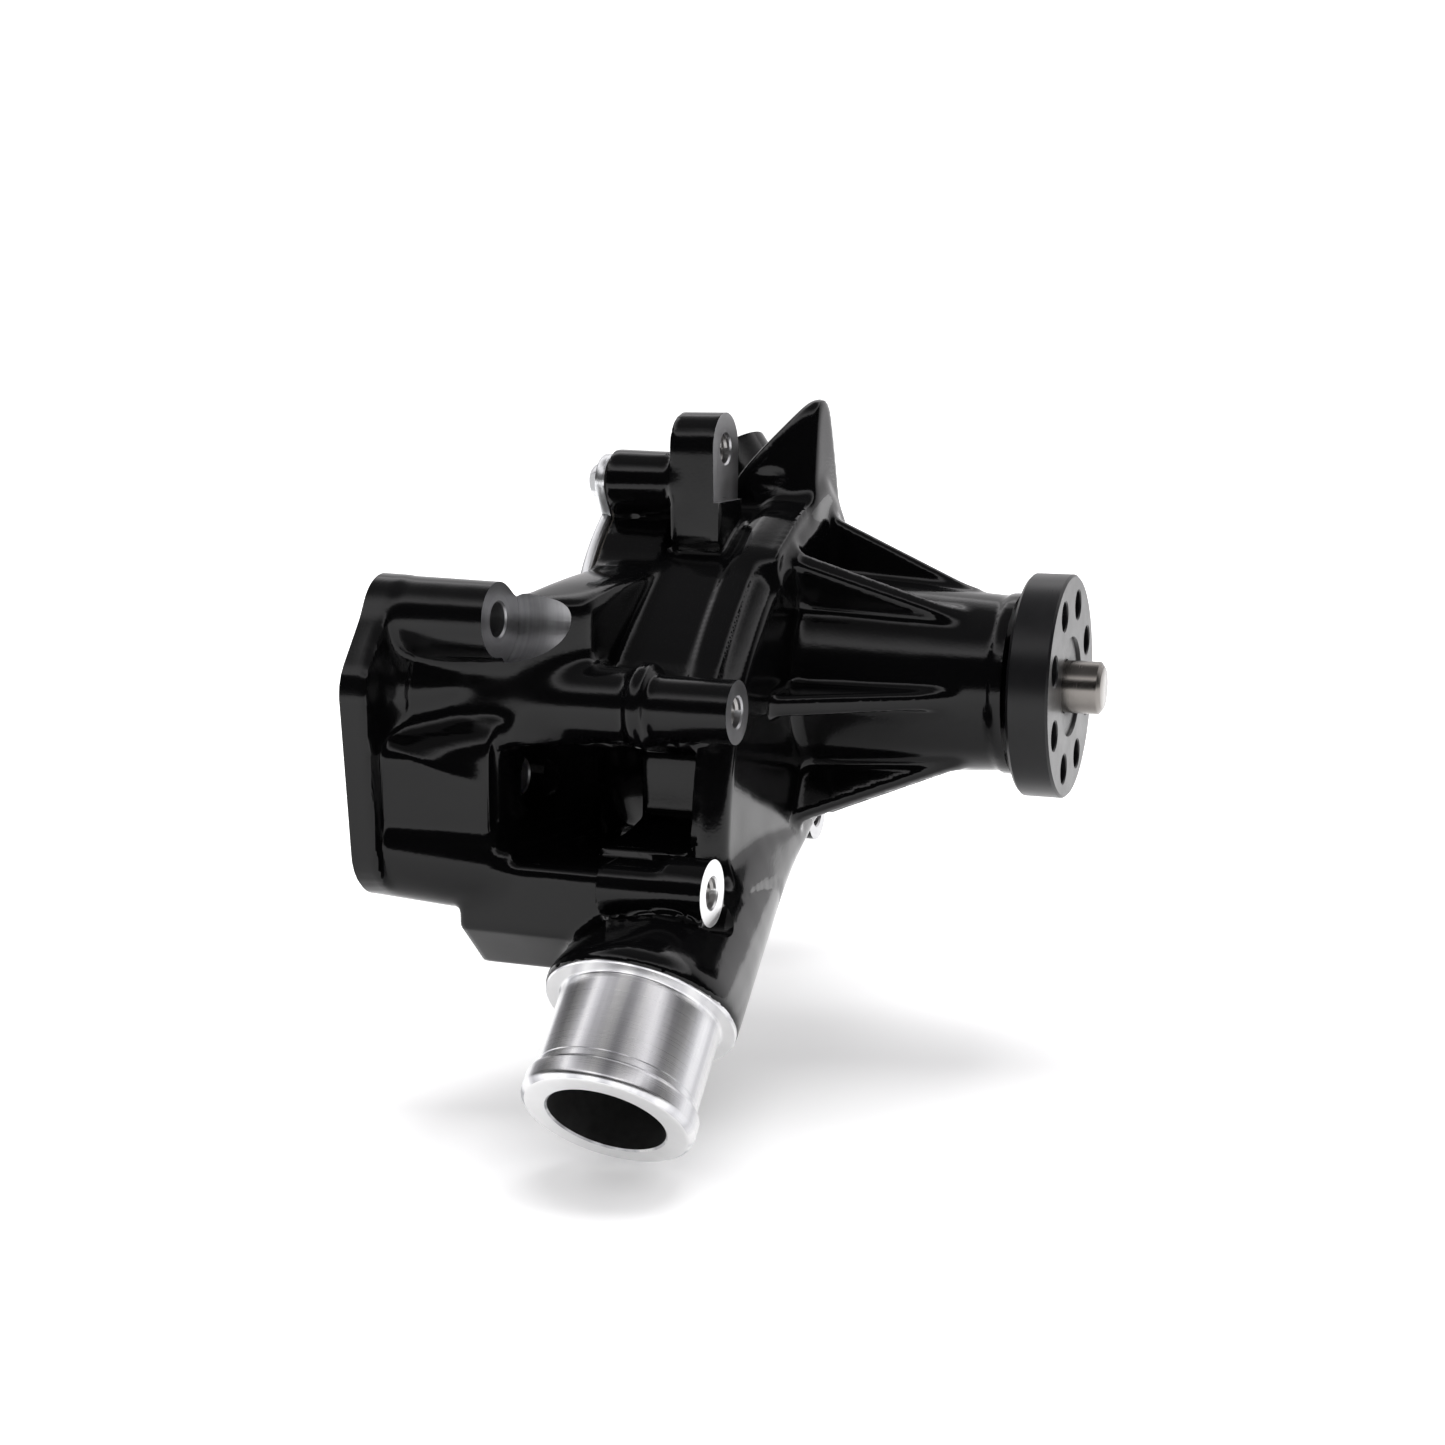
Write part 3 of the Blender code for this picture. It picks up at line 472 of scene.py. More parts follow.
def casting_steps():
    """The casting as (shape, blend, sign) steps, in the order in which they are added or cut."""
    upper_x, upper_y, upper_z, upper_r = UPPER_BOSS
    lower_x, lower_y, lower_z, lower_r = LOWER_BOSS
    far_x, far_y, far_z, far_r = FAR_LOWER_BOSS
    ear_x, ear_y, ear_z, ear_r = EAR
    volute = softened([(0, 54), (-18, 51.5), (-33, 45), (-47, 36.5), (-64, 22), (-78, 6), (-87, -12),
                       (-91, -30), (-92, -48), (-84, -62), (-60, -66), (-30, -58), (0, -54), (38, -38),
                       (54, 0), (38, 38)], 2)
    passage = [(52, -92, -69), (52, -74, -84), (88, -86, -62), (97, -86, -52), (97, -60, -45),
               (97, -20, -50), (97, -35, -61), (97, -53, -75), (64, -20, -50), (64, -35, -58),
               (64, -56, -78)]
    for back in (4.0, 1.2):
        passage += ring_points(NECK_BASE - NECK_AXIS * back, NECK_AXIS, NECK_RING_R + 1.0)
    steps = [
        (post(REAR_X - 0.6, 60.5, 0, 0, 61.2, 60.0, edge=1.2), 0.0, 1.0),
        (loft(61.0, 90.0, volute, draft=0.8, edge=1.0), 3.0, 1.0),
        (loft(82.0, FRONT_X, volute, draft=7.0, bend=2.0, edge=1.6), 2.0, 1.0),
        (post(86.0, SNOUT_END_X + 0.5, 0, 0, 31.6, 26.4, edge=0.6), 5.0, 1.0),
        (post(SNOUT_END_X - 3.2, SNOUT_END_X + 0.5, 0, 0, 27.4, edge=0.6), 2.0, 1.0),
    ]
    rib = [(82.0, 18.0), (82.0, 47.5), (FRONT_X - 0.5, 50.0), (145.5, 28.0), (151.0, 20.0)]
    steps += [(gusset(angle, rib, 3.3, 2.7, edge=1.9), 3.2, 1.0) for angle in RIB_ANGLES]
    for side in (-1, 1):
        steps.extend(leg_steps(side))
    steps += [
        # inlet passage down to the shoulder of the neck
        (convex(passage, soft=0.9, swell=0.8), 9.0, 1.0),
        # lower arm with its flat side, and the boss in front of it
        (loft(24.0, 77.5, round_hull([(-104.0, -45.5, 3.2), (-104.8, -61.0, 2.5), (-92.0, -73.0, 3.0),
                                      (-64.0, -72.0, 4.0), (-70.0, -46.0, 4.0)]), edge=1.4), 2.5, 1.0),
        (post(70.0, lower_x + 1.5, -lower_y, lower_z, lower_r + 0.4, lower_r, edge=0.5), 2.5, 1.0),
        # upper near boss: thick root, collar and slim end
        (post(13.0, 75.0, -upper_y, upper_z, 11.2, 10.8, edge=2.0), 5.0, 1.0),
        (post(71.4, 76.6, -upper_y, upper_z, 12.6, edge=2.0), 1.6, 1.0),
        (post(70.0, upper_x + 1.5, -upper_y, upper_z, upper_r + 0.4, upper_r, edge=0.5), 2.2, 1.0),
        # the same on the far side, and the far lower boss
        (post(13.0, 75.0, upper_y, upper_z, 11.2, 10.8, edge=2.0), 5.0, 1.0),
        (post(70.0, upper_x + 1.5, upper_y, upper_z, upper_r + 0.4, upper_r, edge=0.5), 2.2, 1.0),
        (convex(corners_of((30, 66, -44), (60, 104, -24)) + ring_points((30, 74, -60), (1, 0, 0), 11.0)
                + ring_points((52, 74, -60), (1, 0, 0), 11.0)
                + corners_of((44, 30, -42), (60, 44, -26))), 5.0, 1.0),
        (post(12.0, 52.0, far_y, far_z, 11.0, edge=2.0), 4.0, 1.0),
        (post(46.0, far_x + 1.5, far_y, far_z, far_r + 0.4, far_r, edge=0.5), 2.5, 1.0),
        # ear and the cover-screw boss behind it
        (loft(63.0, ear_x + 1.5, round_hull([(ear_y, ear_z, ear_r), (ear_y - 3.0, 46.0, 7.0),
                                             (ear_y + 2.0, 44.0, 8.0)]), edge=0.9), 2.0, 1.0),
        (post(REAR_X - 0.6, 66.0, -32.0, 60.5, 9.6, 9.0, edge=1.4), 3.0, 1.0),
        # tower: a tall wedge whose ridge runs down to the rear, on a skirt over the body
        (convex(ring_points((96.4, 2.2, 77.6), (1, 0, 0), 8.6, 20)
                + ring_points((92.5, 1.8, 77.0), (1, 0, 0), 9.0, 20)
                + [(96.4, -8, 52), (96.4, 23.0, 43), (74, -11.5, 65), (74, 9, 65), (69, -11.5, 56),
                   (69, 12, 56), (68, -11.5, 42), (68, 16, 42), (92, -11.5, 44)],
                soft=0.9, swell=0.6), 3.0, 1.0),
        (loft(85.0, 96.9, round_hull([(-36.0, 36.0, 7.0), (-20.0, 45.0, 5.5), (2.0, 52.0, 6.0),
                                      (19.0, 40.0, 6.5)]), edge=1.6), 5.0, 1.0),
        # rear-facing port boss
        (cone(PORT_BASE, PORT_BASE + PORT_AXIS * (PORT_LENGTH + 1.0), 12.8, 11.6, edge=0.8), 4.0, 1.0),
    ]
    steps += [(post(REAR_X - 0.6, 60.0, y, z, 8.4, 7.6, edge=1.2), 3.0, 1.0) for y, z in COVER_SCREWS]
    steps += [
        # hollows cast into the near side
        (convex(corners_of((35.4, -122, -39), (88, -76, -10.5))
                + corners_of((48, -76, -36), (84, -61, -16)), soft=1.0, swell=0.0), 2.0, -1.0),
        (blob((86.5, -14.0, 72.0), (5.0, 5.2, 4.4)), 2.2, -1.0),
        (blob((84.5, -15.0, 61.5), (8.5, 6.0, 4.4)), 2.2, -1.0),
        # clearance behind the rear cover, between the legs
        (cone((-6.0, 0, 0), (REAR_X - 1.5, 0, 0), 71.0, 68.0, edge=0.3), 1.0, -1.0),
    ]
    return steps


def casting_mesh():
    """Mesh of the uncut casting, evened out and settled on the field's surface."""
    steps = casting_steps()
    low = np.min([shape.low for shape, _, sign in steps if sign > 0], axis=0) - 3.0
    high = np.max([shape.high for shape, _, sign in steps if sign > 0], axis=0) + 3.0
    value = field_on_grid(steps, low, high, PITCH)
    points, quads = surface_net(value, low, PITCH)
    points = settled(steps, points, PITCH, 1)
    points = settled(steps, relaxed(points, quads), PITCH, 2)
    mesh = bpy.data.meshes.new("housing_casting")
    mesh.from_pydata((points * MM).tolist(), [], quads.tolist())
    return mesh


# ---------------- crisp shapes

def rod(start, direction, length, radius, end_radius=None, sides=64):
    """Closed cylinder or cone as a bmesh."""
    bm = bmesh.new()
    direction = Vector(direction).normalized()
    centre = Vector(start) + direction * (length / 2)
    bmesh.ops.create_cone(
        bm, cap_ends=True, cap_tris=False, segments=sides, radius1=radius,
        radius2=radius if end_radius is None else end_radius, depth=length,
        matrix=Matrix.Translation(centre) @ direction.to_track_quat("Z", "Y").to_matrix().to_4x4(),
    )
    return bm


def rod_x(x0, x1, y, z, radius, end_radius=None, sides=64):
    return rod((x0, y, z), (1, 0, 0), x1 - x0, radius, end_radius, sides)


def hull_mesh(points):
    bm = bmesh.new()
    for point in points:
        bm.verts.new(point)
    found = bmesh.ops.convex_hull(bm, input=bm.verts)
    spare = {item for item in found["geom_interior"] if isinstance(item, bmesh.types.BMVert)}
    bmesh.ops.delete(bm, geom=list(spare), context="VERTS")
    bmesh.ops.dissolve_limit(bm, angle_limit=math.radians(0.5), verts=bm.verts, edges=bm.edges)
    return bm


def drilled(x_face, y, z, radius, depth, material, chamfer=0.5):
    """Hole along -X from a machined face, with a countersunk mouth."""
    return [
        (rod_x(x_face - depth, x_face + 1.0, y, z, radius), material),
        (rod_x(x_face - chamfer, x_face + 1.0, y, z, radius, radius + chamfer + 1.0), material),
    ]


def linked(name, data):
    made = bpy.data.objects.new(name, data)
    bpy.context.scene.collection.objects.link(made)
    return made


def bridge(bm, first, second):
    """Quads between two closed rows of vertices."""
    for i in range(len(first)):
        j = (i + 1) % len(first)
        bm.faces.new((first[i], first[j], second[j], second[i]))


def make_object(name, bm, materials, smooth=35):
    """Object from a bmesh in millimetres, smooth below an angle in degrees and sharp above it."""
    bmesh.ops.scale(bm, vec=(MM, MM, MM), verts=bm.verts)
    mesh = bpy.data.meshes.new(name)
    bm.to_mesh(mesh)
    bm.free()
    for material in materials:
        mesh.materials.append(material)
    mesh.shade_smooth()
    mesh.set_sharp_from_angle(angle=math.radians(smooth))
    return linked(name, mesh)


def boolean(target, shapes, operation="DIFFERENCE"):
    """Cuts or joins (bmesh, material) shapes in one pass, and applies the result."""
    group = bpy.data.collections.new("tools")
    bpy.context.scene.collection.children.link(group)
    tools = []
    for bm, material in shapes:
        tools.append(make_object("tool", bm, [material], smooth=30))
        group.objects.link(tools[-1])
    modifier = target.modifiers.new("crisp", "BOOLEAN")
    modifier.operation = operation
    modifier.solver = "MANIFOLD"
    modifier.operand_type = "COLLECTION"
    modifier.material_mode = "TRANSFER"
    modifier.collection = group
    graph = bpy.context.evaluated_depsgraph_get()
    result = bpy.data.meshes.new_from_object(target.evaluated_get(graph))
    target.modifiers.remove(modifier)
    old = target.data
    target.data = result
    result.name = target.name
    bpy.data.meshes.remove(old)
    for tool in tools:
        bpy.data.objects.remove(tool)
    bpy.data.collections.remove(group)


def turned(name, profile, materials, sides=128, smooth=30):
    """Body turned about the shaft axis from a closed (x, radius) profile; open ends lie on the axis."""
    bm = bmesh.new()
    verts = [bm.verts.new((x, 0.0, radius)) for x, radius in profile]
    edges = [bm.edges.new(pair) for pair in zip(verts, verts[1:])]
    if profile[0][1] > 0:
        edges.append(bm.edges.new((verts[-1], verts[0])))
    bmesh.ops.spin(bm, geom=verts + edges, cent=(0, 0, 0), axis=(1, 0, 0), angle=2 * math.pi,
                   steps=sides, use_merge=True)
    bmesh.ops.remove_doubles(bm, verts=bm.verts, dist=1e-4)
    bmesh.ops.recalc_face_normals(bm, faces=bm.faces)
    return make_object(name, bm, materials, smooth)


# ---------------- materials

class Nodes:
    """Short names for building the node tree of a material or a world."""

    def __init__(self, owner):
        owner.use_nodes = True
        self.owner = owner
        self.tree = owner.node_tree
        self.place = self.node("ShaderNodeTexCoord").outputs["Object"]

    def link(self, source, target):
        self.tree.links.new(source, target)

    def fill(self, socket, value):
        if isinstance(value, bpy.types.NodeSocket):
            self.link(value, socket)
        else:
            socket.default_value = value

    def node(self, kind, **inputs):
        made = self.tree.nodes.new(kind)
        for key, value in inputs.items():
            self.fill(made.inputs[key], value)
        return made

    def noise(self, scale, detail=3.0, roughness=0.5, place=None):
        return self.node("ShaderNodeTexNoise", Scale=scale, Detail=detail, Roughness=roughness,
                         Vector=place or self.place).outputs["Fac"]

    def math(self, operation, first, second=0.0, kind="ShaderNodeMath"):
        made = self.tree.nodes.new(kind)
        made.operation = operation
        for socket, value in zip(made.inputs, (first, second)):
            self.fill(socket, value)
        return made.outputs[0]

    def vector(self, operation, first, second=(0, 0, 0)):
        """A vector operation; a dot product or a length is a number."""
        result = self.math(operation, first, second, "ShaderNodeVectorMath")
        return result if operation == "SUBTRACT" else result.node.outputs["Value"]

    def ramp(self, fac, stops):
        made = self.node("ShaderNodeValToRGB", Fac=fac)
        slots = made.color_ramp.elements
        while len(slots) < len(stops):
            slots.new(0.5)
        for slot, (position, colour) in zip(slots, stops):
            slot.position = position
            slot.color = (*colour, 1.0)
        return made.outputs["Color"]

    def grey(self, fac, low, high, start=0.0, end=1.0, steps="LINEAR"):
        """The fac's range from start to end, mapped to values from low to high."""
        made = self.node("ShaderNodeMapRange", Value=fac, **{"From Min": start, "From Max": end,
                                                             "To Min": low, "To Max": high})
        made.interpolation_type = steps
        return made.outputs["Result"]

    def bump(self, height, depth, strength, **under):
        made = self.node("ShaderNodeBump", Strength=strength, Distance=depth, Height=height, **under)
        return made.outputs["Normal"]

    def finish(self, colour, roughness, **values):
        """Sets the surface's inputs; an underscore in a name stands for a space."""
        shader = self.tree.nodes["Principled BSDF"]
        for key, value in {"Base Color": colour, "Roughness": roughness, **values}.items():
            self.fill(shader.inputs[key.replace("_", " ")], value)
        return self.owner


def black_coating():
    """Glossy black powder coat that levels over slightly wavy cast aluminium."""
    n = Nodes(bpy.data.materials.new("black_coating"))
    wave = n.bump(n.noise(60.0, detail=1.0), 0.0008, 0.35)
    peel = n.bump(n.noise(1100.0, detail=2.0), 0.00005, 0.35, Normal=wave)
    dust = n.noise(2300.0, detail=4.0, roughness=0.8)
    colour = n.ramp(dust, [(0.0, (0.0016, 0.0016, 0.0018)), (0.74, (0.0024, 0.0024, 0.0027)),
                           (0.9, (0.03, 0.03, 0.033))])
    rough = n.grey(n.noise(26.0, detail=4.0), 0.08, 0.17, 0.3, 0.7)
    return n.finish(colour, rough, Normal=peel, Specular_IOR_Level=0.26)


def turned_neck():
    """Bare turned aluminium: fine rings, and a soft painted reflection in its colour, streaked along the
    axis, which is the piece's own X, and banded round it.
    """
    n = Nodes(bpy.data.materials.new("turned_neck"))
    x, y, z = n.node("ShaderNodeSeparateXYZ", Vector=n.place).outputs
    angle = n.math("ARCTAN2", z, y)
    around = n.node("ShaderNodeCombineXYZ", X=n.math("MULTIPLY", n.math("COSINE", angle), 2.6),
                    Y=n.math("MULTIPLY", n.math("SINE", angle), 2.6), Z=n.math("MULTIPLY", x, 3.0)).outputs[0]
    # painted reflection: light and dark stripes in the colour that run along the axis
    painted_reflection_streaks = n.noise(2.2, detail=5.0, roughness=0.6, place=around)
    along = n.node("ShaderNodeCombineXYZ", X=n.math("MULTIPLY", x, 5200.0)).outputs[0]
    rings = n.noise(1.0, detail=3.0, roughness=0.7, place=along)
    # painted reflection: broad light and dark patches in the colour round the axis
    painted_reflection_bands = n.math("SUBTRACT", n.noise(1.1, detail=1.0, place=around), 0.5)
    mixed = n.math("ADD", n.math("MULTIPLY", n.math("SUBTRACT", painted_reflection_streaks, 0.5), 0.55),
                   n.math("MULTIPLY", painted_reflection_bands, 1.5))
    # the colour ramp paints the reflection onto the metal, from dark grey to near white
    shade = n.ramp(n.math("ADD", mixed, 0.5),
                   [(0.2, (0.4, 0.4, 0.42)), (0.5, (0.64, 0.64, 0.66)), (0.75, (0.88, 0.88, 0.88))])
    tangent = n.node("ShaderNodeTangent")
    tangent.direction_type = "RADIAL"
    tangent.axis = "X"
    return n.finish(shade, n.grey(rings, 0.24, 0.36, 0.3, 0.7), Normal=n.bump(rings, 0.00003, 0.6),
                    Metallic=1.0, Anisotropic=0.6, Tangent=tangent.outputs["Tangent"])


def radial_place(n, centre, axis):
    """Distance from an axis through centre, and distance along it, as sockets."""
    offset = n.vector("SUBTRACT", n.place, tuple(Vector(centre) * MM))
    along = n.vector("DOT_PRODUCT", offset, tuple(axis))
    length = n.vector("LENGTH", offset)
    across = n.math("SUBTRACT", n.math("POWER", length, 2.0), n.math("POWER", along, 2.0))
    return n.math("SQRT", n.math("MAXIMUM", across, 0.0)), along


def mixed_finish(n, first, second, share, stops, roughness, depth, strength, **values):
    """Colour and roughness from two textures mixed, with bumps from the first."""
    mixed = n.math("ADD", n.math("MULTIPLY", first, share), n.math("MULTIPLY", second, 1.0 - share))
    return n.finish(n.ramp(mixed, stops), n.grey(mixed, *roughness, 0.3, 0.7),
                    Normal=n.bump(first, depth, strength), **values)


def machined(name, colour, roughness=(0.22, 0.36), centre=(0, 0, 0), axis=(1, 0, 0), pitch=0.35,
             depth=0.00004, dark=0.75, Metallic=1.0, **values):
    """Turned or faced metal: tool marks run round the axis, over a faint mottle."""
    n = Nodes(bpy.data.materials.new(name))
    both = n.math("ADD", *radial_place(n, centre, axis))
    marks = n.node("ShaderNodeCombineXYZ", X=n.math("MULTIPLY", both, 1000.0 / pitch)).outputs[0]
    rings = n.noise(1.0, detail=3.0, roughness=0.7, place=marks)
    stops = [(0.3, tuple(c * dark for c in colour)), (0.7, colour)]
    return mixed_finish(n, rings, n.noise(160.0, detail=4.0), 0.55, stops, roughness, depth, 0.6,
                        Metallic=Metallic, **values)


def mottled(name, low, high, roughness, scale=300.0, depth=0.0001, **values):
    """Surface with a fine grain, such as rubber, iron, ceramic or gasket board."""
    n = Nodes(bpy.data.materials.new(name))
    grain = n.noise(scale, detail=5.0, roughness=0.65)
    return mixed_finish(n, grain, n.noise(scale / 9.0, detail=3.0), 0.5, [(0.34, low), (0.66, high)],
                        roughness, depth, 0.5, **values)


COATING = black_coating()
FACED_GREY = machined("faced_boss_grey", (0.42, 0.42, 0.43), (0.3, 0.42), (0, -87, 1.2), dark=0.7)
FACED_BOLT = machined("faced_bolt_grey", (0.4, 0.4, 0.41), (0.3, 0.45), (0, -102.7, 26), pitch=0.9,
                      depth=0.00009, dark=0.6)
FACED_FAR = machined("faced_far", (0.6, 0.6, 0.61), (0.28, 0.4), (0, 102.7, 26), pitch=0.9, dark=0.7)
FACED_BRIGHT = machined("faced_boss_bright", (0.86, 0.86, 0.86), (0.28, 0.4), (0, -106.5, -45.5),
                        dark=0.85)
FACED_EAR = machined("faced_ear", (0.5, 0.5, 0.51), (0.26, 0.36), (0, -32, 71))
FACED_REAR = machined("faced_rear", (0.62, 0.62, 0.63), (0.28, 0.42), pitch=1.2)
BORE = machined("bored_aluminium", (0.5, 0.5, 0.5), (0.3, 0.5), pitch=0.8, dark=0.6)
RAW_CAST = mottled("raw_casting", (0.2, 0.2, 0.21), (0.36, 0.36, 0.37), (0.5, 0.65), scale=420.0,
                   depth=0.0003, Metallic=0.9)
NECK_METAL = turned_neck()
NECK_FACE = machined("faced_neck", (0.9, 0.9, 0.9), (0.3, 0.42), NECK_BASE, NECK_AXIS, dark=0.9)
NECK_BORE = mottled("neck_bore", (0.012, 0.012, 0.012), (0.04, 0.04, 0.04), (0.5, 0.7), Metallic=0.3)
HUB_BLACK = machined("hub_black", (0.008, 0.008, 0.009), (0.26, 0.36), pitch=0.3, dark=0.6,
                     Metallic=0.0, Specular_IOR_Level=0.3)
SHAFT_STEEL = machined("ground_shaft", (0.24, 0.225, 0.21), (0.18, 0.3), pitch=0.25)
ZINC = mottled("zinc_plate", (0.6, 0.61, 0.62), (0.78, 0.79, 0.8), (0.25, 0.4), scale=500.0,
               depth=0.00004, Metallic=1.0)
THREAD_STEEL = machined("thread", (0.4, 0.39, 0.38), (0.25, 0.4), dark=0.7)


# ---------------- casting, cut crisp

def block_port(side):
    """Water passage of one leg, from its port in the block face to the chamber, as overlapping hulls."""
    def ring(x, y, z, radius, axis=(1, 0, 0)):
        return ring_points((x, side * y, z), axis, radius)

    along_arm = (1, side * -0.5, 0.3)
    return (
        ring(-1.5, 103, -4, 11.0) + ring(12, 96, -6, 9.0)
        + ring(-1.5, 103, -24, 9.5) + ring(12, 98, -22, 8.5),
        ring(11.4, 96.2, -6.2, 8.7) + ring(11.4, 98.2, -21.6, 8.1)
        + ring(24, 89, 0, 6.6) + ring(24, 89, -8, 6.0),
        ring(22.6, 88.6, 0.6, 6.4, along_arm) + ring(50, 74, 9, 7.2, along_arm),
        ring(49, 77, 9, 7.6, (0, 1, 0)) + ring(53, 36, 12, 9.0, (0, 1, 0)),
    )


def inlet_passage():
    """Bore behind the neck: straight, then bent, narrow under the pocket and open to the chamber."""
    def ring(x, y, z, radius, axis):
        return ring_points((x, y, z), axis, radius)

    first = (-0.25, 0.95, -0.15)
    return (
        ring(87.6, -121.9, -72.2, 13.6, (0, 0.731, 0.683)) + ring(82, -101, -75.5, 10.6, first),
        ring(82.3, -102.4, -75.3, 10.2, first) + ring(78, -79, -71, 8.2, (0, 0.93, 0.36)),
        ring(78.2, -81, -71.8, 8.5, (0, 0.93, 0.36)) + ring(78, -55, -55, 8.9, (0, 0.75, 0.66)),
        ring(78, -57, -57, 9.2, (0, 0.6, 0.8)) + ring(79, -30, -14, 10.8, (0, 0.54, 0.84)),
    )


def machined_cuts():
    """Machined faces and drilled holes, as (shape, material) pairs."""
    cuts = [(rod_x(-12.0, 0.0, 0, 0, 190.0, sides=32), FACED_REAR)]
    for side, boss, bolt in ((-1, FACED_GREY, FACED_BOLT), (1, FACED_FAR, FACED_FAR)):
        x, y, z, _ = UPPER_BOSS
        cuts.append((rod_x(x, x + 9.0, side * y, z, 13.0), boss))
        cuts += drilled(x, side * y, z, TAP_R, 24.0, boss)
        x, y, z, _ = BLOCK_BOLT
        cuts.append((rod_x(x, 55.0, side * y, z, 13.0, 11.6), bolt))
        cuts += drilled(x, side * y, z, BOLT_HOLE_R, 38.0, bolt)
        x, y, z, _ = INNER_BOLT
        cuts.append((rod_x(x, 60.0, side * y, z, 10.0), COATING))
        cuts += drilled(x, side * y, z, BOLT_HOLE_R, 33.0, bolt)
        cuts += [(hull_mesh(points), RAW_CAST) for points in block_port(side)]
    # the lower boss is bright on its own face only, and coated round it
    x, y, z, _ = LOWER_BOSS
    cuts.append((rod_x(x, x + 0.5, -y, z, 9.3), FACED_BRIGHT))
    cuts.append((rod_x(x + 0.1, x + 9.0, -y, z, 11.5), COATING))
    cuts += drilled(x, -y, z, TAP_R, 20.0, FACED_BRIGHT)
    x, y, z, _ = FAR_LOWER_BOSS
    cuts.append((rod_x(x, 84.0, y, z, 12.0), FACED_FAR))
    cuts += drilled(x, y, z, TAP_R, 20.0, FACED_FAR)
    x, y, z, radius = EAR
    cuts.append((hull_mesh(ring_points((x, y, z), (1, 0, 0), radius + 3.0)
                           + ring_points((x + 9.0, y, z), (1, 0, 0), radius + 3.0)
                           + corners_of((x, y - 14, 55.5), (x + 9.0, y + 14, 60))), FACED_EAR))
    cuts += drilled(x, y, z, TAP_R + 0.1, 18.0, FACED_EAR)
    # rear face, its clearance and the chambers behind and in front of it
    cuts.append((rod_x(38.0, REAR_X, 0, 0, 66.0, sides=128), FACED_REAR))
    for y, z in COVER_SCREWS:
        cuts.append((rod_x(30.0, REAR_X, y, z, 10.2), FACED_REAR))
        cuts.append((rod_x(REAR_X - 2.5, REAR_X + 12.0, y, z, 2.9, sides=24), BORE))
    cuts += [
        (rod_x(REAR_X - 2.0, 64.0, 0, 0, CHAMBER_R, sides=96), RAW_CAST),
        (rod_x(60.0, 69.0, 0, 0, 26.0), RAW_CAST),
        (rod_x(68.0, 90.0, 0, 0, 37.0, sides=96), RAW_CAST),
        (rod_x(89.0, 97.5, 0, 0, 18.4), BORE),
        (rod_x(97.0, 103.0, 0, 0, 15.5), BORE),
        (rod_x(102.7, SNOUT_END_X + 6.0, 0, 0, RACE_R + GAP, sides=96), BORE),
        (rod_x(SNOUT_END_X - 0.6, SNOUT_END_X + 4.0, 0, 0, RACE_R, RACE_R + 5.0, sides=96), BORE),
        (rod_x(SNOUT_END_X, SNOUT_END_X + 4.0, 0, 0, 40.0, sides=96), COATING),
        (rod((100.0, 0, 0), (0.1, 0, -1), 45.0, 2.6, sides=32), BORE),
        (rod(NECK_BASE + NECK_AXIS * 1.0, -NECK_AXIS, 6.5, NECK_BORE_R + 1.5), RAW_CAST),
        *((hull_mesh(points), RAW_CAST) for points in inlet_passage()),
        (rod(PORT_BASE + PORT_AXIS * PORT_LENGTH, PORT_AXIS, 8.0, 16.0), FACED_FAR),
        (rod(PORT_BASE + PORT_AXIS * (PORT_LENGTH + 1.0), -PORT_AXIS, 24.0, PORT_BORE_R), FACED_FAR),
    ]
    return cuts


def build_casting():
    casting = linked("housing_casting", casting_mesh())
    casting.data.materials.append(COATING)
    casting.data.shade_smooth()
    boolean(casting, machined_cuts())
    casting.data.set_sharp_from_angle(angle=math.radians(40))
    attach(casting, "housing")
    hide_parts("pump_housing")


# ---------------- other pieces

def arc(x, radius, size, start, end, steps=6):
    """Points of a rounded corner in a profile, round the centre (x, radius), from start to end degrees."""
    made = []
    for step in range(steps + 1):
        angle = math.radians(start + (end - start) * step / steps)
        made.append((x + size * math.cos(angle), radius + size * math.sin(angle)))
    return made


def build_neck():
    """Hose neck: shoulder ring, barrel with a scribed line, and a rounded bead at its mouth."""
    length = NECK_LENGTH
    profile = [(-1.6, NECK_BORE_R), (-1.6, NECK_RING_R - 0.4), (-1.2, NECK_RING_R), (-0.3, NECK_RING_R),
               (0.0, NECK_RING_R - 0.3), (0.0, NECK_BARREL_R + 1.0)]
    profile += arc(0.8, NECK_BARREL_R + 0.8, 0.8, 180, 270, 4)
    profile += [(22.6, NECK_BARREL_R), (22.8, 21.95), (23.1, 21.95), (23.3, NECK_BARREL_R),
                (24.6, NECK_BARREL_R)]
    profile += arc(26.4, NECK_BARREL_R + 0.1, 1.4, 150, 90, 5)
    profile += arc(length - 2.2, 21.5, 2.2, 90, 12, 8)
    profile += [(length, 21.2), (length, NECK_BORE_R + 0.5), (length - 0.5, NECK_BORE_R)]
    outer = turned("inlet_neck", profile, [NECK_METAL, NECK_BORE, NECK_FACE], sides=192)
    for face in outer.data.polygons:
        centre = face.center / MM
        if math.hypot(centre.y, centre.z) < NECK_BORE_R + 0.05:
            face.material_index = 1
        elif abs(face.normal.x) > 0.95:
            face.material_index = 2
    turn = NECK_AXIS.to_track_quat("X", "Z").to_matrix().to_4x4()
    outer.matrix_world = Matrix.Translation(NECK_BASE * MM) @ turn
    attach(outer, "housing")


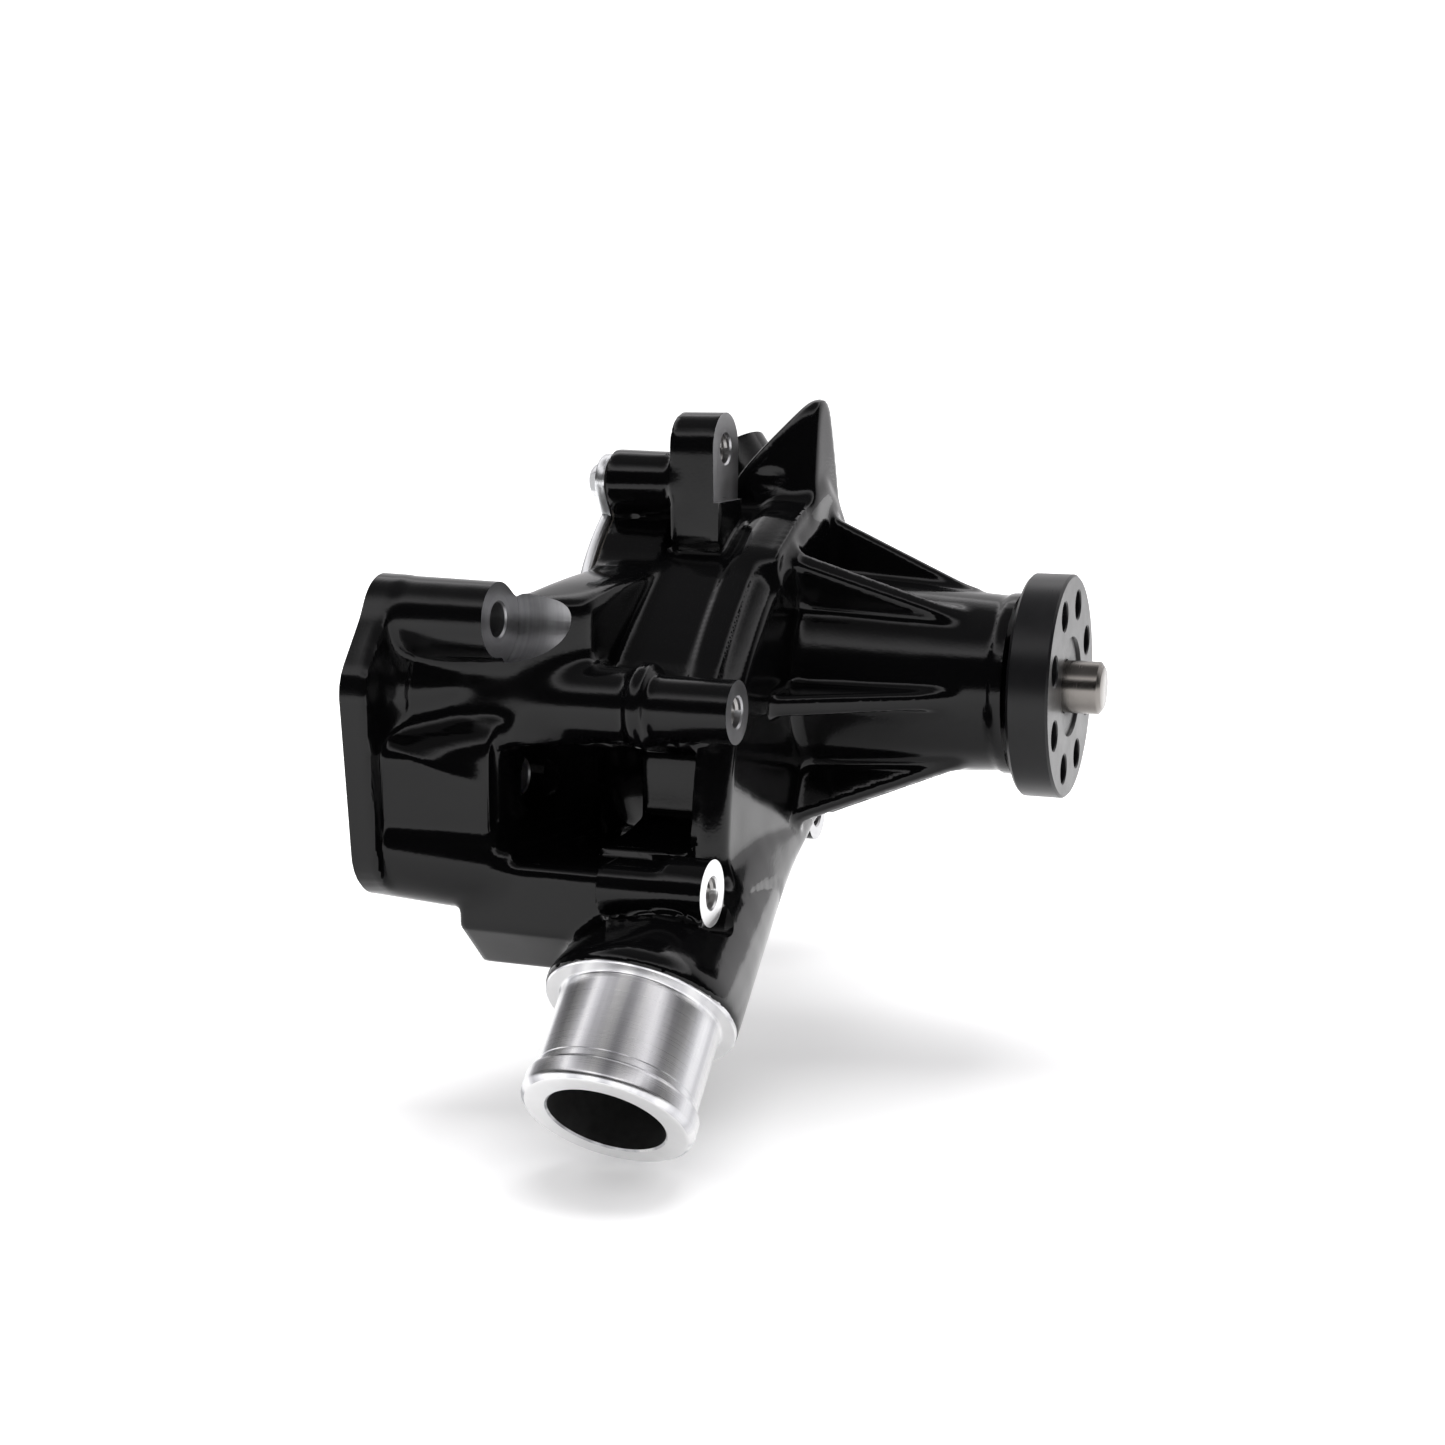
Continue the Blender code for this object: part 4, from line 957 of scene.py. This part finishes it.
def build_hub():
    """Hub with a sleeve, a chamfered disc, a recess round the shaft and its circle of holes."""
    face, back, sleeve_r, bore_r = HUB_FACE, HUB_BACK, HUB_SLEEVE_R, SHAFT_R + GAP
    disc = face - HUB_DISC
    outline = [(back, bore_r), (back, sleeve_r - 0.5), (back + 0.5, sleeve_r), (disc - 1.5, sleeve_r),
               (disc, sleeve_r + 1.5), (disc, HUB_R - 0.9), (disc + 0.9, HUB_R), (face - 0.7, HUB_R),
               (face, HUB_R - 0.7), (face, 15.2), (face - 0.25, 15.0), (face - 1.0, 14.8),
               (face - 1.0, 9.6), (face - 1.6, bore_r)]
    hub = turned("pulley_hub_detailed", outline, [HUB_BLACK], sides=192)
    holes = []
    for index in range(HUB_HOLES):
        angle = math.radians(HUB_HOLE_PHASE + 360.0 / HUB_HOLES * index)
        y, z = HUB_HOLE_CIRCLE_R * math.cos(angle), HUB_HOLE_CIRCLE_R * math.sin(angle)
        for x0, x1, end_r in ((back, face + 1.0, HUB_HOLE_R), (face - 0.4, face + 0.6, HUB_HOLE_R + 1.0)):
            holes.append((rod_x(x0, x1, y, z, HUB_HOLE_R, end_r, sides=48), HUB_BLACK))
    boolean(hub, holes)
    hub.data.set_sharp_from_angle(angle=math.radians(25))
    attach(hub, "rotor")
    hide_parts("pulley_hub")


def build_shaft():
    """Shaft with its thicker part in the bearing and a chamfered pilot end."""
    end = SHAFT_END
    profile = [(end, 0.0), (end, 6.2), (end - 0.15, 6.5), (end - 1.1, SHAFT_R - 0.1), (end - 1.4, SHAFT_R),
               (159.0, SHAFT_R), (157.5, 9.2), (103.0, 9.2), (102.1, SHAFT_R), (44.5, SHAFT_R),
               (43.5, SHAFT_R - 1.0), (43.5, 0.0)]
    shaft = turned("pump_shaft", profile, [SHAFT_STEEL], sides=128)
    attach(shaft, "rotor")
    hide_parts("bearing_shaft")


def build_threads():
    """Tapped threads seen inside the boss holes, as rings of triangular section in one piece."""
    bm = bmesh.new()
    sides, turns, root_r, crest_r = 40, 9, TAP_R - 0.02, TAP_R - 0.75
    section = ((0.0, root_r), (-THREAD_PITCH / 2, crest_r), (-THREAD_PITCH * 0.98, root_r))
    upper_x, upper_y, upper_z, _ = UPPER_BOSS
    lower_x, lower_y, lower_z, _ = LOWER_BOSS
    for x, y, z in ((upper_x, -upper_y, upper_z), (upper_x, upper_y, upper_z), (lower_x, -lower_y, lower_z),
                    FAR_LOWER_BOSS[:3], EAR[:3]):
        rows = []
        for index in range(turns * sides + 1):
            angle = 2 * math.pi * index / sides
            start = x - 1.2 - THREAD_PITCH * index / sides
            ray = (math.cos(angle), math.sin(angle))
            rows.append([bm.verts.new((start + dx, y + radius * ray[0], z + radius * ray[1]))
                         for dx, radius in section])
        for a, b in zip(rows, rows[1:]):
            bridge(bm, b, a)
        bm.faces.new(rows[0])
        bm.faces.new(rows[-1][::-1])
    bmesh.ops.recalc_face_normals(bm, faces=bm.faces)
    threads = make_object("boss_threads", bm, [THREAD_STEEL], smooth=40)
    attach(threads, "housing")


def cover_outline(steps=360):
    """Outline of the rear cover, a disc with a lobe round each screw."""
    points = []
    for step in range(steps):
        angle = 2 * math.pi * step / steps
        ray = (math.cos(angle), math.sin(angle))
        reach = COVER_R
        for y, z in COVER_SCREWS:
            along = y * ray[0] + z * ray[1]
            off = abs(y * ray[1] - z * ray[0])
            if along > 0 and off < COVER_LOBE_R:
                reach = max(reach, along + math.sqrt(COVER_LOBE_R * COVER_LOBE_R - off * off))
        points.append((reach * ray[0], reach * ray[1]))
    return points


def build_cover():
    """Pressed plate with rounded edges and a shallow dished centre."""
    low, high = COVER_LOW.x, COVER_HIGH.x
    rim = [(high, 0.55), (high - 0.5, 0.0), (low + 0.6, 0.0), (low + 0.15, 0.25), (low, 0.8)]
    dish = [(low, 46.0), (low + 0.25, 44.6), (low + 0.9, 43.6), (low + 1.0, 42.6), (low + 1.0, 12.0)]
    bm = bmesh.new()
    outline = [(y, z, math.hypot(y, z)) for y, z in cover_outline()]
    rings = []
    for x, inset in rim:
        rings.append([bm.verts.new((x, y * ((reach - inset) / reach), z * ((reach - inset) / reach)))
                      for y, z, reach in outline])
    angles = [math.atan2(z, y) for y, z, _ in outline]
    for x, radius in dish:
        rings.append([bm.verts.new((x, radius * math.cos(angle), radius * math.sin(angle)))
                      for angle in angles])
    for a, b in zip(rings, rings[1:]):
        bridge(bm, a, b)
    bm.faces.new(rings[-1])
    bm.faces.new(rings[0][::-1])
    bmesh.ops.recalc_face_normals(bm, faces=bm.faces)
    cover = make_object("rear_cover_plate", bm, [ZINC], smooth=50)
    boolean(cover, [(rod_x(low - 1.0, high + 1.0, y, z, 3.1, sides=40), ZINC) for y, z in COVER_SCREWS])
    cover.data.set_sharp_from_angle(angle=math.radians(40))
    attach(cover, "housing")
    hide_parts("rear_cover")


def build_screws():
    """Hexagon screws with a washer face, chamfered corners and a dished head."""
    for index, (y, z) in enumerate(COVER_SCREWS):
        node = f"cover_screw_{index + 1}"
        low, high = node_box(node)
        back, front = low.x, HEAD_FRONT_X
        head = make_object(f"hex_screw_{index + 1}", rod_x(back, front, 0, 0, 5.2, sides=6), [ZINC])
        boolean(head, [(rod_x(back, back + 4.0, 0, 0, 4.3, 9.0), ZINC)], "INTERSECT")
        boolean(head, [(rod_x(front - 0.4, front + 0.4, 0, 0, 4.9), ZINC),
                       (rod_x(front - 0.2, high.x, 0, 0, 2.6, sides=32), ZINC)], "UNION")
        boolean(head, [(rod_x(back - 1.0, back + 0.35, 0, 0, 3.2, 2.6, sides=48), ZINC)])
        spin = Matrix.Rotation(math.radians(17.0 * index), 4, "X")
        head.data.transform(Matrix.Translation(Vector((0, y, z)) * MM) @ spin)
        head.data.set_sharp_from_angle(angle=math.radians(25))
        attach(head, "housing")
        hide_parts(node)


def dress_inner_nodes():
    """Better materials for the CAD nodes that stay as they are."""
    rubber = mottled("seal_rubber", (0.012, 0.012, 0.012), (0.03, 0.03, 0.03), (0.55, 0.75))
    steel = machined("race_steel", (0.6, 0.6, 0.61), (0.16, 0.26), dark=0.85)
    brass = mottled("cage_brass", (0.5, 0.36, 0.14), (0.72, 0.55, 0.26), (0.25, 0.4), Metallic=1.0)
    iron = mottled("cast_iron", (0.05, 0.05, 0.052), (0.14, 0.14, 0.145), (0.5, 0.7), depth=0.0003,
                   Metallic=0.7)
    carbon = mottled("seal_carbon", (0.015, 0.015, 0.017), (0.05, 0.05, 0.055), (0.3, 0.45))
    ceramic = mottled("seal_ceramic", (0.72, 0.71, 0.68), (0.86, 0.85, 0.82), (0.18, 0.28),
                      depth=0.00003)
    board = mottled("gasket_board", (0.05, 0.045, 0.04), (0.12, 0.11, 0.1), (0.75, 0.9), depth=0.0002)
    choice = {
        "rear_cover_gasket": board, "impeller": iron, "slinger": rubber, "seal_seat_boot": rubber,
        "seal_seat": ceramic, "seal_carbon_ring": carbon, "seal_bellows": rubber, "seal_cup": brass,
        "seal_spring": steel, "bearing_outer_race": steel, "bearing_shield_rear": rubber,
        "bearing_shield_front": rubber, "rear_ball_cage": brass, "front_ball_cage": brass,
    }
    for name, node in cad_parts.items():
        node.data.materials.clear()
        node.data.materials.append(choice.get(name, steel))


# ---------------- scene

def build_stage():
    """Pale floor, a white surround and soft lamps."""
    bm = bmesh.new()
    rings, sides = 24, 96
    before = None
    centre = bm.verts.new((0, 0, 0))
    for ring in range(1, rings + 1):
        radius = FLOOR_R * (ring / rings) ** 2
        angles = [2 * math.pi * i / sides for i in range(sides)]
        row = [bm.verts.new((radius * math.cos(angle), radius * math.sin(angle), 0)) for angle in angles]
        if before is None:
            for i in range(sides):
                bm.faces.new((centre, row[i], row[(i + 1) % sides]))
        else:
            bridge(bm, row, before)
        before = row
    mesh = bpy.data.meshes.new("floor")
    bm.to_mesh(mesh)
    bm.free()
    floor = linked("floor", mesh)
    floor.location = (LIT_POINT.x, -0.02, cad_box[0][2] - 0.0004)
    n = Nodes(bpy.data.materials.new("floor_white"))
    shade = n.ramp(n.noise(9.0, detail=2.0), [(0.3, (0.86, 0.86, 0.865)), (0.7, (0.9, 0.9, 0.9))])
    glow = n.grey(n.vector("LENGTH", n.place), 0.3, 1.0, 0.12, 0.7)
    mesh.materials.append(n.finish(shade, 0.7, Specular_IOR_Level=0.2, Emission_Color=(1, 1, 1, 1),
                                   Emission_Strength=glow))

    # reflections see a softbox overhead and brightness behind; the camera sees plain white
    world = bpy.data.worlds.new("studio")
    bpy.context.scene.world = world
    n = Nodes(world)
    direction = n.place.node.outputs["Generated"]
    _, back, up = n.node("ShaderNodeSeparateXYZ", Vector=direction).outputs
    softbox = n.math("MULTIPLY", n.grey(up, 0.0, 1.0, 0.60, 0.68, "SMOOTHSTEP"),
                     n.grey(up, SOFTBOX, 0.2, 0.66, 0.9, "SMOOTHSTEP"))
    surround = n.grey(back, 0.02, 1.0, 0.3, 0.62, "SMOOTHSTEP")
    studio = n.node("ShaderNodeBackground", Color=(1.0, 0.985, 1.0, 1),
                    Strength=n.math("MAXIMUM", softbox, surround))
    white = n.node("ShaderNodeBackground", Color=(1, 1, 1, 1), Strength=BACKDROP)
    pick = n.node("ShaderNodeMixShader", Fac=n.node("ShaderNodeLightPath").outputs["Is Camera Ray"])
    n.link(studio.outputs[0], pick.inputs[1])
    n.link(white.outputs[0], pick.inputs[2])
    n.link(pick.outputs[0], n.tree.nodes["World Output"].inputs["Surface"])

    for name, place, size, power in (
        ("key_overhead", (0.05, 0.15, 0.95), (0.9, 0.6), 9.0),
        ("side_left", (-0.75, -0.45, 0.5), (0.25, 0.6), 1.0),
    ):
        data = bpy.data.lights.new(name, "AREA")
        data.shape = "RECTANGLE"
        data.size, data.size_y = size
        data.energy = power
        lamp = linked(name, data)
        lamp.location = place
        lamp.visible_glossy = False
        lamp.rotation_euler = (LIT_POINT - Vector(place)).to_track_quat("-Z", "Y").to_euler()


def build_camera():
    """Camera at the reference view: slightly above, in front of the near side."""
    data = bpy.data.cameras.new("camera")
    data.sensor_width = SENSOR
    data.lens = LENS
    data.clip_start = 0.01
    camera = linked("camera", data)
    forward = Vector(CAMERA_FORWARD).normalized()
    right = forward.cross(Vector((0, 0, 1))).normalized()
    up = right.cross(forward)
    turn = Matrix((right, up, -forward)).transposed().to_4x4()
    camera.matrix_world = Matrix.Translation(CAMERA_AT) @ turn
    bpy.context.scene.camera = camera


build_camera()
dress_inner_nodes()
build_casting()
build_neck()
build_hub()
build_shaft()
build_threads()
build_cover()
build_screws()
build_stage()
bpy.context.scene.view_settings.view_transform = "Standard"
